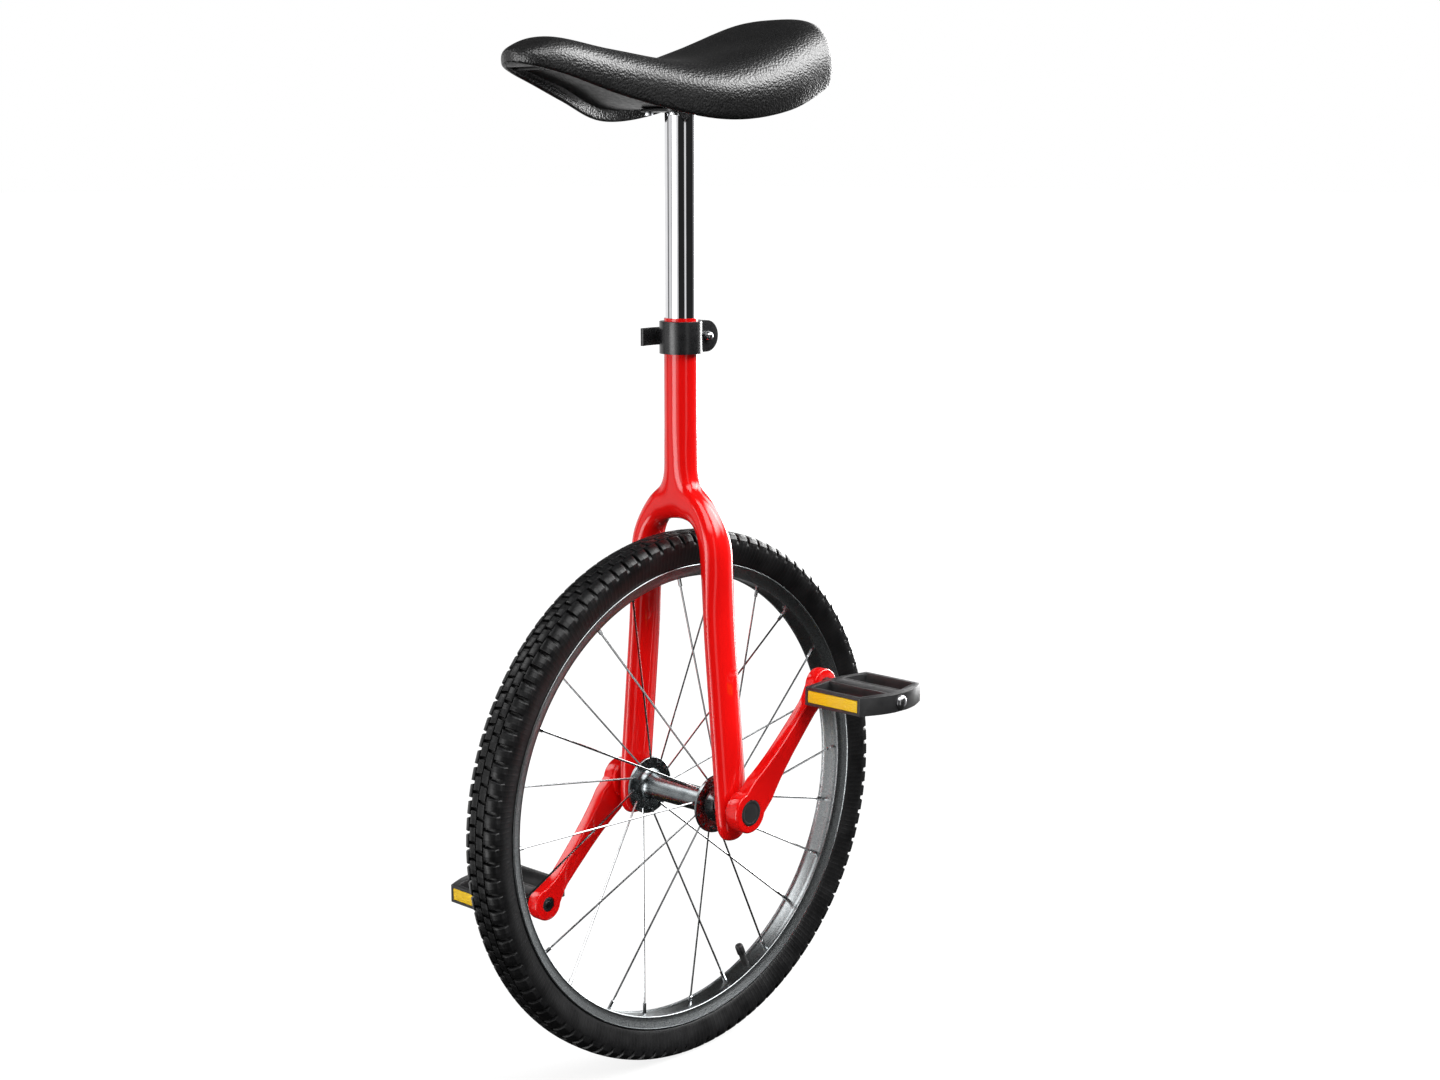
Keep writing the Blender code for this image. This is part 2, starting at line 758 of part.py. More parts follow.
def clamp_band():
    """A split ring with a pair of rounded ears behind it."""
    ring = rod((0, 0, CLAMP_LOW_Z), (0, 0, CLAMP_TOP_Z), CLAMP_R, 32)
    middle = CLAMP_MIDDLE_Z
    half = (CLAMP_TOP_Z - CLAMP_LOW_Z) / 2 - 0.0002
    outline = [(0.012, middle + half), (0.012, middle - half)]
    outline += arc((CLAMP_EAR_Y, middle), half, -90, 90, 10)
    ears = plate("ears", outline, -CLAMP_EAR_HALF, CLAMP_EAR_HALF, axis="X")
    body = boolean(ring, ears, "UNION")
    hole = rod((0, 0, CLAMP_LOW_Z - 0.01), (0, 0, CLAMP_TOP_Z + 0.01), NECK_R + 0.0005, 32)
    slit = box((-0.0011, 0.005, CLAMP_LOW_Z - 0.01), (0.0011, 0.06, CLAMP_TOP_Z + 0.01))
    skewer_hole = rod((-0.02, CLAMP_EAR_Y, middle), (0.02, CLAMP_EAR_Y, middle), SKEWER_R + GAP, 12)
    for cutter in (hole, slit, skewer_hole):
        body = boolean(body, cutter)
    return keep(renamed(body, "clamp_band"), black_metal())


def clamp_skewer():
    """The rod through both ears, with the upright pin that the lever turns on."""
    z = CLAMP_MIDDLE_Z
    shank = rod((LEVER_PIVOT_X, CLAMP_EAR_Y, z), (0.0112, CLAMP_EAR_Y, z), SKEWER_R, 12)
    pin = rod(
        (LEVER_PIVOT_X, CLAMP_EAR_Y, z - LEVER_HALF_TALL - 0.0006),
        (LEVER_PIVOT_X, CLAMP_EAR_Y, z + LEVER_HALF_TALL + 0.0006),
        SKEWER_R,
        12,
    )
    return keep(renamed(boolean(pin, shank, "UNION"), "clamp_skewer"), steel())


def clamp_nut():
    z = CLAMP_MIDDLE_Z
    face = CLAMP_EAR_HALF + GAP
    profile = [
        (0.0135, 0.0),
        (0.0131, 0.0024),
        (0.0118, 0.0040),
        (0.0095, 0.0046),
        (face, 0.0046),
        (face, SKEWER_R + GAP),
        (0.0116, SKEWER_R + GAP),
        (0.0116, 0.0),
    ]
    made = turned("clamp_nut", profile, 16, centre=(0, CLAMP_EAR_Y, z), closed=False)
    return keep(made, chrome())


def clamp_lever():
    """The quick-release lever: a slotted boss on the pin and a curved tab round the clamp."""
    z = CLAMP_MIDDLE_Z
    low = z - LEVER_HALF_TALL
    high = z + LEVER_HALF_TALL
    x0 = LEVER_PIVOT_X
    y0 = CLAMP_EAR_Y
    boss = rod((x0, y0, low), (x0, y0, high), LEVER_BOSS_R, 20)
    outer = [(x0 - 0.0062, y0 - 0.001), (-0.0262, 0.0140), (-0.0282, 0.0), (-0.0280, -0.0140)]
    tip = [(-0.0252, -0.0270), (-0.0224, -0.0265)]
    inner = [(-0.0248, -0.0140), (-0.0250, 0.0), (-0.0228, 0.0125), (x0 - 0.001, y0 - 0.0058)]
    tab = plate("tab", outer + tip + inner, low + 0.0002, high - 0.0002)
    body = boolean(boss, tab, "UNION")
    pin_hole = rod((x0, y0, low - 0.01), (x0, y0, high + 0.01), SKEWER_R + GAP, 12)
    slot = box((x0 - 0.0085, y0 - 0.0026, z - 0.0029), (x0 + 0.01, y0 + 0.01, z + 0.0029))
    for cutter in (pin_hole, slot):
        body = boolean(body, cutter)
    return keep(renamed(body, "clamp_lever"), black_metal())


# Seat post and saddle


def seat_post():
    profile = [
        (POST_TOP_Z, POST_R),
        (POST_LOW_Z, POST_R),
        (POST_LOW_Z, POST_R - POST_WALL),
        (POST_TOP_Z, POST_R - POST_WALL),
    ]
    return keep(turned("seat_post", profile, 32, axis="Z"), chrome())


def saddle_bracket():
    """The flat plate that joins the post to the saddle's base."""
    corner = 0.010
    x = BRACKET_HALF_X - corner
    y = BRACKET_HALF_Y - corner
    outline = arc((x, y), corner, 0, 90, 3)
    outline += arc((-x, y), corner, 90, 180, 3)
    outline += arc((-x, -y), corner, 180, 270, 3)
    outline += arc((x, -y), corner, 270, 360, 3)
    low = POST_TOP_Z + GAP
    return keep(plate("saddle_bracket", outline, low, low + PLATE_THICK), black_metal())


def eased(share, column):
    """A station value at this share of the length, eased between neighbours so that it flows."""
    shares = [row[0] for row in SADDLE_STATIONS]
    values = [row[column] for row in SADDLE_STATIONS]
    last = len(shares) - 1
    slopes = []
    for i in range(last + 1):
        low = max(i - 1, 0)
        high = min(i + 1, last)
        slopes.append((values[high] - values[low]) / (shares[high] - shares[low]))
    for i in range(last):
        if share <= shares[i + 1] or i == last - 1:
            width = shares[i + 1] - shares[i]
            t = (share - shares[i]) / width
            h00 = 2 * t**3 - 3 * t**2 + 1
            h10 = t**3 - 2 * t**2 + t
            h01 = 3 * t**2 - 2 * t**3
            h11 = t**3 - t**2
            start = h00 * values[i] + h10 * width * slopes[i]
            return start + h01 * values[i + 1] + h11 * width * slopes[i + 1]


def saddle_section(share):
    """The saddle's y, half width, and top, edge and skirt heights at a share of its length."""
    y = SADDLE_FRONT_Y + share * (SADDLE_REAR_Y - SADDLE_FRONT_Y)
    end = min(share, 1 - share) / 0.14
    round_end = math.sqrt(max(0.0, 1 - max(0.0, 1 - end) ** 2))
    half = eased(share, 1) * max(round_end, 0.25)
    return y, half, eased(share, 2), eased(share, 3), eased(share, 4)


def loft(name, rings):
    """A closed solid through rings of the same number of points, capped at both ends."""
    bm = bmesh.new()
    rows = [[bm.verts.new(point) for point in ring] for ring in rings]
    count = len(rows[0])
    for first, second in zip(rows, rows[1:]):
        for i in range(count):
            j = (i + 1) % count
            bm.faces.new((first[i], first[j], second[j], second[i]))
    bm.faces.new(rows[0])
    bm.faces.new(list(reversed(rows[-1])))
    bmesh.ops.recalc_face_normals(bm, faces=bm.faces)
    return object_from_bmesh(name, bm)


def saddle_shares(count):
    """Shares of the length, closer together towards both ends."""
    return [0.5 - 0.5 * math.cos(math.pi * i / (count - 1)) for i in range(count)]


def saddle_cushion():
    rings = []
    for share in saddle_shares(19):
        y, half, top, edge, skirt = saddle_section(share)
        ring = []
        for degrees in (0, 20, 42, 66, 90, 114, 138, 160, 180):
            angle = math.radians(degrees)
            height = edge + (top - edge) * math.sin(angle)
            ring.append((half * math.cos(angle), y, height))
        low = SKIRT_TAPER * half
        inside = max(low - SADDLE_SKIRT, 0.3 * low)
        roof = skirt + SADDLE_RECESS * min(1.0, half / 0.05)
        ring += [(-low, y, skirt), (-inside, y, skirt), (-inside, y, roof)]
        ring += [(inside, y, roof), (inside, y, skirt), (low, y, skirt)]
        rings.append(ring)
    return keep(loft("saddle_cushion", rings), vinyl())


def saddle_base():
    """The moulded base plate that the cushion is stretched over."""
    rings = []
    for share in saddle_shares(19)[3:-3]:
        y, half, _top, _edge, skirt = saddle_section(share)
        low = SKIRT_TAPER * half
        inside = max(low - SADDLE_SKIRT, 0.3 * low) - 0.0006
        roof = skirt + SADDLE_RECESS * min(1.0, half / 0.05) - 0.0005
        floor = roof - PLATE_THICK
        rings.append([(-inside, y, floor), (inside, y, floor), (inside, y, roof), (-inside, y, roof)])
    return keep(loft("saddle_base", rings), black_plastic())


def place_axes():
    """Puts every moving piece under an empty on the axis that it turns about or slides along."""
    turning = ["tyre", "inner_tube", "rim", "rim_tape", "valve_stem", "valve_cap", "hub_shell", "axle"]
    turning += [f"spoke_{index + 1:02d}" for index in range(SPOKE_COUNT)]
    for word in ("left", "right"):
        turning += [f"{piece}_{word}" for piece in ("crank", "crank_bolt", "crank_cap", "pedal_axle")]
    wheel = turns_about("wheel_axis", Vector((0.0, 0.0, AXLE_Z)), turning)
    for side, word in ((1, "left"), (-1, "right")):
        y0, z0 = pedal_place(side)
        middle_x = side * (PEDAL_IN_X + PEDAL_OUT_X) / 2
        names = [f"pedal_{word}", f"pedal_cap_{word}", f"reflector_{word}_front", f"reflector_{word}_rear"]
        turns_about(f"pedal_axis_{word}", Vector((middle_x, y0, z0)), names, wheel)
    lever_place = Vector((LEVER_PIVOT_X, CLAMP_EAR_Y, CLAMP_MIDDLE_Z))
    turns_about("lever_axis", lever_place, ["clamp_lever"])
    seat = ["seat_post", "saddle_bracket", "saddle_base", "saddle_cushion"]
    turns_about("seat_axis", Vector((0.0, 0.0, POST_TOP_Z)), seat)


def main():
    clear_scene()
    tyre()
    inner_tube()
    rim()
    rim_tape()
    valve()
    for index in range(SPOKE_COUNT):
        spoke(index)
    hub_shell()
    axle()
    for side, word in ((1, "left"), (-1, "right")):
        bearing(side, f"bearing_{word}")
        crank(side, f"crank_{word}")
        crank_bolt(side, f"crank_bolt_{word}")
        crank_cap(side, f"crank_cap_{word}")
        pedal_body(side, f"pedal_{word}")
        pedal_axle(side, f"pedal_axle_{word}")
        pedal_cap(side, f"pedal_cap_{word}")
        reflector(side, -1, f"reflector_{word}_front")
        reflector(side, 1, f"reflector_{word}_rear")
    frame()
    clamp_band()
    clamp_skewer()
    clamp_nut()
    clamp_lever()
    seat_post()
    saddle_bracket()
    saddle_base()
    saddle_cushion()
    place_axes()


main()
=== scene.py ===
"""The looks of the unicycle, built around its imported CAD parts.

Metres, +Z up. The axle runs along X, the rider faces -Y, and the tyre meets the ground at the origin.
"""

import math

import bmesh
import bpy
from mathutils import Matrix, Vector


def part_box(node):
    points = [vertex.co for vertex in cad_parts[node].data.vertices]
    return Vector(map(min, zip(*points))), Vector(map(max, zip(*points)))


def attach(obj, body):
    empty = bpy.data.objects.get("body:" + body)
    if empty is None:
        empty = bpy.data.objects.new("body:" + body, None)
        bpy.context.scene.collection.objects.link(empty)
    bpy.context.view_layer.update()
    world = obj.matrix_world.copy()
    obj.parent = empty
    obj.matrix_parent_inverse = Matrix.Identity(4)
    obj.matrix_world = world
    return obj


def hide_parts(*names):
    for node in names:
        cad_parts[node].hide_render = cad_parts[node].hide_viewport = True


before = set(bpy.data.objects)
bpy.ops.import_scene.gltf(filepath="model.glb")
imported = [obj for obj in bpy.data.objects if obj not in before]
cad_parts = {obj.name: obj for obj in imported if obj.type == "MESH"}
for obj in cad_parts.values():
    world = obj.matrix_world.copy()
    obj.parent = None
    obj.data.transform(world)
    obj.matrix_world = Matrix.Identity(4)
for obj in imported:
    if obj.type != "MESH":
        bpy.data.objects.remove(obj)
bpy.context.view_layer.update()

PI = math.pi

# Camera
CAMERA_AZIMUTH = 44.21
CAMERA_ELEVATION = 9.70
CAMERA_DISTANCE = 2.0888
CAMERA_TARGET = Vector((0.0, 0.0517, 0.4931))
CAMERA_LENS = 54.91
SENSOR_WIDTH = 36.0

# Studio. Each soft box: degrees to the camera's right seen from the object, half its width, its lower and
# upper edge above the horizon, how soft its edge is, and its brightness.
SOFT_BOXES = (
    (-47, 12, -30, 16, 6, 5.4),
    (-25, 9, -30, 14, 3, 0.8),
    (-82, 14, -25, 30, 6, 0.75),
    (-112, 12, 24, 48, 7, 3.8),
    (24, 24, 36, 72, 6, 5.0),
    (37, 5, -30, 30, 4, 0.8),
    (88, 22, 28, 56, 7, 10.5),
    (120, 16, 20, 46, 6, 8.0),
    (125, 15, -30, 10, 6, 0.4),
    (153, 16, -10, 18, 5, 12.0),
    (-145, 36, -25, 8, 6, 0.9),
    (180, 14, 2, 10, 3, 0.2),
)
STUDIO_DARK = 0.02
FILL = 0.11
FILL_RISE = 0.5
FLOOR_SIZE = 60.0
FLOOR_Z = -0.0005
FLOOR_GLOW = 0.86

# Making: how far a cutter reaches past what it cuts, when an edge counts as sharp, and which points merge
CUT_REACH = 0.01
SHARP_DEG = 35.0
WELD = 1e-6
TURNED_WELD = 1e-7
THIN_EDGE = 1e-8

# Wheel
AXLE_Z = 0.254
AXLE_CENTRE = (0, 0, AXLE_Z)
TYRE_HALF_WIDTH = 0.0195
TYRE_SIDE_R = 0.2420
CROWN_RISE = 0.0120
CROWN_POWER = 3.1
CARCASS_RISE = 0.0090
CARCASS_POWER = 2.0
CROWN_STEPS = 14
TYRE_SEGMENTS = 192
# Half of the tyre's section below its crown, down the sidewall, round the bead and up inside: (x, radius).
TYRE_WALL = (
    (0.0193, 0.2390), (0.0186, 0.2355), (0.0174, 0.2318), (0.0161, 0.2282), (0.0151, 0.2254),
    (0.0144, 0.2243), (0.0136, 0.2233), (0.0122, 0.2205), (0.0106, 0.2205), (0.0112, 0.2260),
    (0.0160, 0.2340), (0.0165, 0.2400), (0.0110, 0.2460),
)
# Tread blocks. Spans, leans and pinches are shares of one pitch round the wheel.
TREAD_PITCHES = 106
BLOCK_DRAFT = 0.0004
BLOCK_ROOT = 0.0008
BLOCK_ROUND = 0.0004
MIDDLE_BLOCK_X = (0.0007, 0.0045, 0.0085)
MIDDLE_BLOCK_END = 0.86
MIDDLE_BLOCK_LEAN = 0.06
SHOULDER_BLOCK_X = (0.0100, 0.0130, 0.0157)
SHOULDER_BLOCK_SIDE = ((0.0191, 0.2476), (0.0194, 0.2440))
SHOULDER_BLOCK_SHARES = (0.52, 1.38, 0.12, 0.07)
# Half of the rim's section: its well from the middle out, the bead, then the flange and back inside.
RIM_WELL = ((0.0, 0.2126), (0.0050, 0.2127), (0.0088, 0.2130), (0.0094, 0.2126))
RIM_BEAD_CENTRE = (0.0102, 0.2131)
RIM_BEAD_R = 0.0011
RIM_FLANGE = (
    (0.0113, 0.2141), (0.0124, 0.2172), (0.0146, 0.2222), (0.0153, 0.2224), (0.0154, 0.2230),
    (0.0152, 0.2236), (0.0147, 0.2238), (0.0139, 0.2232), (0.0115, 0.2170), (0.0095, 0.2148), (0.0, 0.2146),
)
RIM_SEGMENTS = 240
EYELET_R = 0.0036
EYELET_BORE_R = 0.0024
EYELET_SEAT = 0.0012
EYELET_IN = 0.0014
EYELET_OUT = 0.0040
SPOKE_COUNT = 24
FIRST_SPOKE_DEG = 1.8
SPOKE_TRAIL_DEG = -16.0
SPOKE_ELBOW = 0.0015
SPOKE_HOLE_R = 0.0015
SPOKE_HOLE_REACH = 0.001
NIPPLE_X = 0.0020
NIPPLE_R = 0.2160
FLANGE_X = 0.0447
FLANGE_HALF = 0.0015
FLANGE_R = 0.0275
FLANGE_CHAMFER = 0.0005
HUB_HOLE_CIRCLE_R = 0.0235
HUB_BARREL = ((0.0, 0.0115), (0.020, 0.0115), (0.034, 0.0119), (0.0385, 0.0126), (0.0415, 0.0142))
HUB_SHOULDER_R = 0.0165
HUB_END = ((0.0472, 0.0150), (0.0520, 0.0122), (0.0525, 0.0117), (0.0525, 0.0078))
# The valve's outlines: distance from the axle, then the radius there.
VALVE_DEG = 294.5
VALVE_BASE = 0.1985
VALVE_STEM = (
    (0.1990, 0.0), (0.1990, 0.0030), (0.1996, 0.0033), (0.2140, 0.0036), (0.2183, 0.0038), (0.2183, 0.0060),
    (0.2196, 0.0060), (0.2196, 0.0),
)
VALVE_CAP = (
    (0.1880, 0.0), (0.1880, 0.0026), (0.1886, 0.0036), (0.1896, 0.0041), (0.1980, 0.0042), (0.1987, 0.0039),
    (0.1987, 0.0),
)
VALVE_GROOVES = 12
VALVE_GROOVE_CIRCLE_R = 0.0043
VALVE_GROOVE_R = 0.00045
VALVE_GROOVE_SPAN = (0.1893, 0.1980)

# Drive
CRANK_LENGTH = 0.1455
CRANK_DEG = 45.3
CRANK_IN_X = 0.0775
CRANK_OUT_X = 0.0905
CRANK_BOSS_R = 0.0195
CRANK_END_R = 0.0160
CRANK_NECK_HALF = 0.0083
# One long side of a crank: distance from the axle, then half its height there.
CRANK_SIDE = (
    (0.026, 0.0163), (0.034, 0.0145), (0.044, 0.0128), (0.058, 0.0110), (0.075, 0.0097),
    (CRANK_LENGTH - 0.046, CRANK_NECK_HALF + 0.0004), (CRANK_LENGTH - 0.028, CRANK_NECK_HALF),
    (CRANK_LENGTH - 0.021, CRANK_NECK_HALF + 0.0009), (CRANK_LENGTH - 0.015, CRANK_NECK_HALF + 0.0027),
)
CRANK_ROUND = 0.0022
CRANK_HUB_X = 0.0750
CRANK_HUB_R = 0.0183
CRANK_HUB_OVERLAP = 0.003
CRANK_BORE_R = 0.0078
CRANK_PEDAL_BORE_R = 0.0073
CAP_R = 0.0122
CAP_GAP = 0.0003
CAP_SEAT_X = 0.0840
CRANK_CUT_X = (0.07, 0.10)
# Turned fittings: distance out from the wheel's middle, then the radius there.
DUST_CAP = (
    (0.0880, 0.0), (0.0880, CAP_R), (0.0899, CAP_R), (0.0906, CAP_R - 0.0003), (0.0909, CAP_R - 0.0010),
    (0.0909, CAP_R - 0.0022), (0.0905, CAP_R - 0.0030), (0.0908, 0.0060), (0.0910, 0.0),
)
PEDAL_IN_X = 0.1038
PEDAL_OUT_X = 0.1703
PEDAL_IN_BOW = 0.0058
PEDAL_OUT_BOW = 0.0128
PEDAL_HALF_LENGTH = 0.0437
PEDAL_HALF_THICK = 0.0085
PEDAL_AXLE_R = 0.0060
PEDAL_SPINDLE = (
    (0.0778, 0.0), (0.0778, 0.0030), (0.0783, 0.0034), (0.0778, 0.0062), (0.0782, 0.0070), (0.0908, 0.0070),
    (0.0908, 0.0082), (0.0955, 0.0082), (0.0955, PEDAL_AXLE_R), (0.1740, PEDAL_AXLE_R), (0.1740, 0.0),
)
PEDAL_PLUG = (
    (0.1746, 0.0), (0.1746, 0.0058), (0.1834, 0.0058), (0.1834, 0.0066), (0.1841, 0.0066), (0.1849, 0.0061),
    (0.1858, 0.0052), (0.1865, 0.0038), (0.1869, 0.0020), (0.1871, 0.0),
)
# The bowed outer end: shares of the half length, then of the bow.
PEDAL_BOW = ((0.85, 0.27), (0.70, 0.51), (0.56, 0.72), (0.40, 0.87), (0.20, 1.0))
PEDAL_FLAT_SHARE = 0.30
PEDAL_SLOT = ((0.1083, 0.0385), (0.1658, 0.0385), (0.1733, 0.0105), (0.1048, 0.0105))
PEDAL_GROOVE_X = (0.1078, 0.1743)
PEDAL_GROOVE_Y = (0.0070, 0.0078)
PEDAL_GROOVE_DEPTH = 0.0005
PEDAL_ROUND = 0.0007
PEDAL_BORE_X = (0.09, 0.20)
PEDAL_BORE_R = PEDAL_AXLE_R + 0.0003
REFLECTOR_HALF = 0.0305
REFLECTOR_HALF_TALL = 0.0060
REFLECTOR_POCKET = 0.0022
LENS_BACK = 0.0019
LENS_SUNK = 0.0002
LENS_GAP = 0.0003
LENS_ROUND = 0.0006

# Frame and clamp
NECK_R = 0.0156
NECK_TOP_Z = 0.7065
NECK_BORE_R = 0.0144
NECK_BORE_Z = 0.548
NECK_MIDDLE_Z = 0.640
NECK_LOW_Z = 0.576
NECK_BLEND_Z = (0.578, 0.610)
CROWN_Z = 0.529
CROWN_FULL = (1.28, 1.10)
LEG_AXLE_X = 0.0648
LEG_SHOULDER_X = 0.0430
LEG_SHOULDER_Z = 0.490
LEG_HALF_X = 0.0095
LEG_HALF_Y = 0.0185
LEG_SPLAY = (LEG_AXLE_X - LEG_SHOULDER_X) / (LEG_SHOULDER_Z - AXLE_Z)
LEG_BLEND_Z = (0.468, 0.500)
LEG_BORE_R = 0.0133
BEND_X = 0.0320
BEND_HALF_Y = 0.0150
SHOULDER_X = LEG_SHOULDER_X + 0.0020
SHOULDER_Z = 0.5030
SHOULDER_HALF = (0.0172, 0.0128)
SHOULDER_OUT = 0.0024
SHOULDER_OUT_Z = (0.400, 0.500)
SHOULDER_GROWTH = (0.0033, -0.0013)
SHOULDER_GROWTH_Z = (0.430, 0.503)
THIGH_Z = 0.455
THIGH_X = LEG_SHOULDER_X + 0.0040
THIGH_FULL = 1.1
SHIN_UP = 0.05
ANKLE_Z = AXLE_Z - 0.011
FOOT_X = LEG_AXLE_X + 0.0010
FOOT_Z = 0.2210
FOOT_FULL = (0.74, 0.85)
VALLEY_Z = 0.519
VALLEY_SPREAD = (0.008, 0.012)
VALLEY_DEPTH = 0.14
SKIN_SHRINK = 0.93  # a smoothed square section ends up this much smaller than its cage
SKIN_LEVELS = 4
CLAMP_LOW_Z = 0.674
CLAMP_TOP_Z = 0.7035
CLAMP_R = 0.01975
CLAMP_EAR_HALF = 0.0075
CLAMP_EAR_Y = 0.0268
CLAMP_SLIT_HALF = 0.0011
CLAMP_PIN_R = 0.0025
CLAMP_NUT = (
    (0.0078, 0.0), (0.0078, 0.0046), (0.0095, 0.0046), (0.0108, 0.0043), (0.0118, 0.0038), (0.0126, 0.0030),
    (0.0132, 0.0018), (0.0135, 0.0),
)
LEVER_PIVOT_X = -0.0146
LEVER_BOSS_R = 0.0065
LEVER_HALF_TALL = 0.0083
# The lever from above: its outer side, its tip and its inner side.
LEVER_OUTLINE = (
    (-0.0208, 0.0258), (-0.0240, 0.0190), (-0.0262, 0.0140), (-0.0277, 0.0070), (-0.0282, 0.0),
    (-0.0283, -0.0070), (-0.0280, -0.0140), (-0.0270, -0.0210), (-0.0252, -0.0270), (-0.0224, -0.0265),
    (-0.0240, -0.0205), (-0.0248, -0.0140), (-0.0252, -0.0070), (-0.0250, 0.0), (-0.0243, 0.0065),
    (-0.0228, 0.0125), (-0.0156, 0.0210),
)
LEVER_SLOT = (0.0085, 0.0026, 0.0029)

# Seat
POST_R = 0.0141
POST_WALL = 0.0016
POST_LOW_Z = 0.5915
POST_TOP_Z = 0.8914
POST_LIP = 0.0006
PLATE_THICK = 0.0030
SADDLE_FRONT_Y = -0.203
SADDLE_REAR_Y = 0.153
SADDLE_RECESS = 0.0152
SADDLE_SKIRT = 0.0060
SADDLE_LOW_SHARE = 0.97
SADDLE_SHOULDER = 0.52
SADDLE_FULLNESS = 0.82
# Along the saddle: where the dip and the raised tail lie, how far each spreads, and its depth or height.
SADDLE_DIP = (0.74, 0.18, 0.0110)
SADDLE_DIP_WIDTH = 0.8
SADDLE_TAIL = (0.86, 0.20, 0.0030)
SADDLE_ROUND_END = 0.14
COVER_ROUND_END = 0.12
RECESS_FADE = (0.02, 0.12)
COVER_RINGS = 69
COVER_INSET = 0.0012
COVER_TOP_STEPS = 32
COVER_UNDER_STEPS = (3, 2, 3, 14, 3, 2, 3)
COVER_PRESSURE = 4.0
COVER_STIFFNESS = 15.0
COVER_CAP = 0.0050
CLOTH_FRAMES = 20
BASE_RINGS = 61
BASE_SHORTER = 11
BASE_GAP = 0.0006
BASE_ROOF_GAP = 0.0005
BRACKET_CORNER = 0.010
BOLT_OUT = 0.002
BOLT_R = 0.0042
BOLT_TALL = 0.0034
BOLT_GAP = 0.00005
# Down the saddle from nose to tail: share of the length, half width, then top, edge and skirt heights.
SADDLE_STATIONS = (
    (0.00, 0.0350, 0.9444, 0.9387, 0.9270),
    (0.10, 0.0368, 0.9536, 0.9309, 0.9192),
    (0.28, 0.0517, 0.9458, 0.9229, 0.9000),
    (0.50, 0.0833, 0.9396, 0.9185, 0.8833),
    (0.72, 0.0913, 0.9611, 0.9206, 0.8916),
    (0.90, 0.0836, 0.9811, 0.9294, 0.9158),
    (1.00, 0.0800, 0.9822, 0.9453, 0.9338),
)


# Mesh helpers


def cosd(degrees):
    return math.cos(math.radians(degrees))


def sind(degrees):
    return math.sin(math.radians(degrees))


def object_from_bmesh(bm):
    mesh = bpy.data.meshes.new("made")
    bm.to_mesh(mesh)
    bm.free()
    return bpy.data.objects.new("made", mesh)


def outward(bm):
    """A new object of this mesh, with its faces turned outwards."""
    bmesh.ops.recalc_face_normals(bm, faces=bm.faces)
    return object_from_bmesh(bm)


def shown(obj):
    if not obj.users_collection:
        bpy.context.scene.collection.objects.link(obj)
    return obj


def smooth(obj, degrees=SHARP_DEG):
    obj.data.shade_smooth()
    obj.data.set_sharp_from_angle(angle=math.radians(degrees))
    return obj


def baked(obj):
    """The evaluated mesh of an object in the row frame, as a new object."""
    shown(obj)
    bpy.context.view_layer.update()
    graph = bpy.context.evaluated_depsgraph_get()
    mesh = bpy.data.meshes.new_from_object(obj.evaluated_get(graph))
    mesh.transform(obj.matrix_world)
    bpy.data.objects.remove(obj, do_unlink=True)
    bm = bmesh.new()
    bm.from_mesh(mesh)
    bpy.data.meshes.remove(mesh)
    bmesh.ops.remove_doubles(bm, verts=bm.verts, dist=WELD)
    return outward(bm)


def boolean(obj, other, operation="DIFFERENCE"):
    shown(obj)
    shown(other)
    modifier = obj.modifiers.new("boolean", "BOOLEAN")
    modifier.operation = operation
    modifier.object = other
    result = baked(obj)
    bpy.data.objects.remove(other, do_unlink=True)
    return result


def rounded(obj, width, segments=3, degrees=SHARP_DEG):
    """Rounds every edge sharper than the angle, and applies it."""
    bevel = obj.modifiers.new("round", "BEVEL")
    bevel.width = width
    bevel.segments = segments
    bevel.limit_method = "ANGLE"
    bevel.angle_limit = math.radians(degrees)
    return baked(obj)


def subdivided(obj, levels):
    fine = obj.modifiers.new("fine", "SUBSURF")
    fine.levels = levels
    fine.render_levels = levels
    return baked(obj)


def box(low, high):
    bm = bmesh.new()
    bmesh.ops.create_cube(bm, size=1.0)
    for vert in bm.verts:
        vert.co = Vector(low[i] + (vert.co[i] + 0.5) * (high[i] - low[i]) for i in range(3))
    return object_from_bmesh(bm)


def rod(start, end, radius, segments=48):
    start = Vector(start)
    end = Vector(end)
    along = end - start
    place = Matrix.Translation((start + end) / 2) @ along.to_track_quat("Z", "Y").to_matrix().to_4x4()
    bm = bmesh.new()
    size = {"radius1": radius, "radius2": radius, "depth": along.length}
    bmesh.ops.create_cone(bm, cap_ends=True, segments=segments, matrix=place, **size)
    return object_from_bmesh(bm)


def merged(pieces):
    bm = bmesh.new()
    for part in pieces:
        bm.from_mesh(part.data)
        bpy.data.objects.remove(part, do_unlink=True)
    return object_from_bmesh(bm)


def join_rows(bm, first, second, closed=True):
    """A strip of four-sided faces between two rows of points."""
    count = len(first)
    for i in range(count if closed else count - 1):
        j = (i + 1) % count
        bm.faces.new((first[i], first[j], second[j], second[i]))


def turned(profile, segments, axis="X", centre=(0.0, 0.0, 0.0), closed=True):
    """Turns (along, radius) points about an axis through centre. A closed profile makes a ring."""
    bm = bmesh.new()
    rows = []
    for step in range(segments):
        angle = 2 * PI * step / segments
        row = []
        for along, radius in profile:
            u = radius * math.cos(angle)
            v = radius * math.sin(angle)
            point = (along, u, v) if axis == "X" else (u, v, along)
            row.append(bm.verts.new(Vector(point) + Vector(centre)))
        rows.append(row)
    for first, second in zip(rows, rows[1:] + rows[:1]):
        join_rows(bm, first, second, closed)
    bmesh.ops.remove_doubles(bm, verts=bm.verts, dist=TURNED_WELD)
    bmesh.ops.dissolve_degenerate(bm, edges=bm.edges, dist=THIN_EDGE)
    return outward(bm)


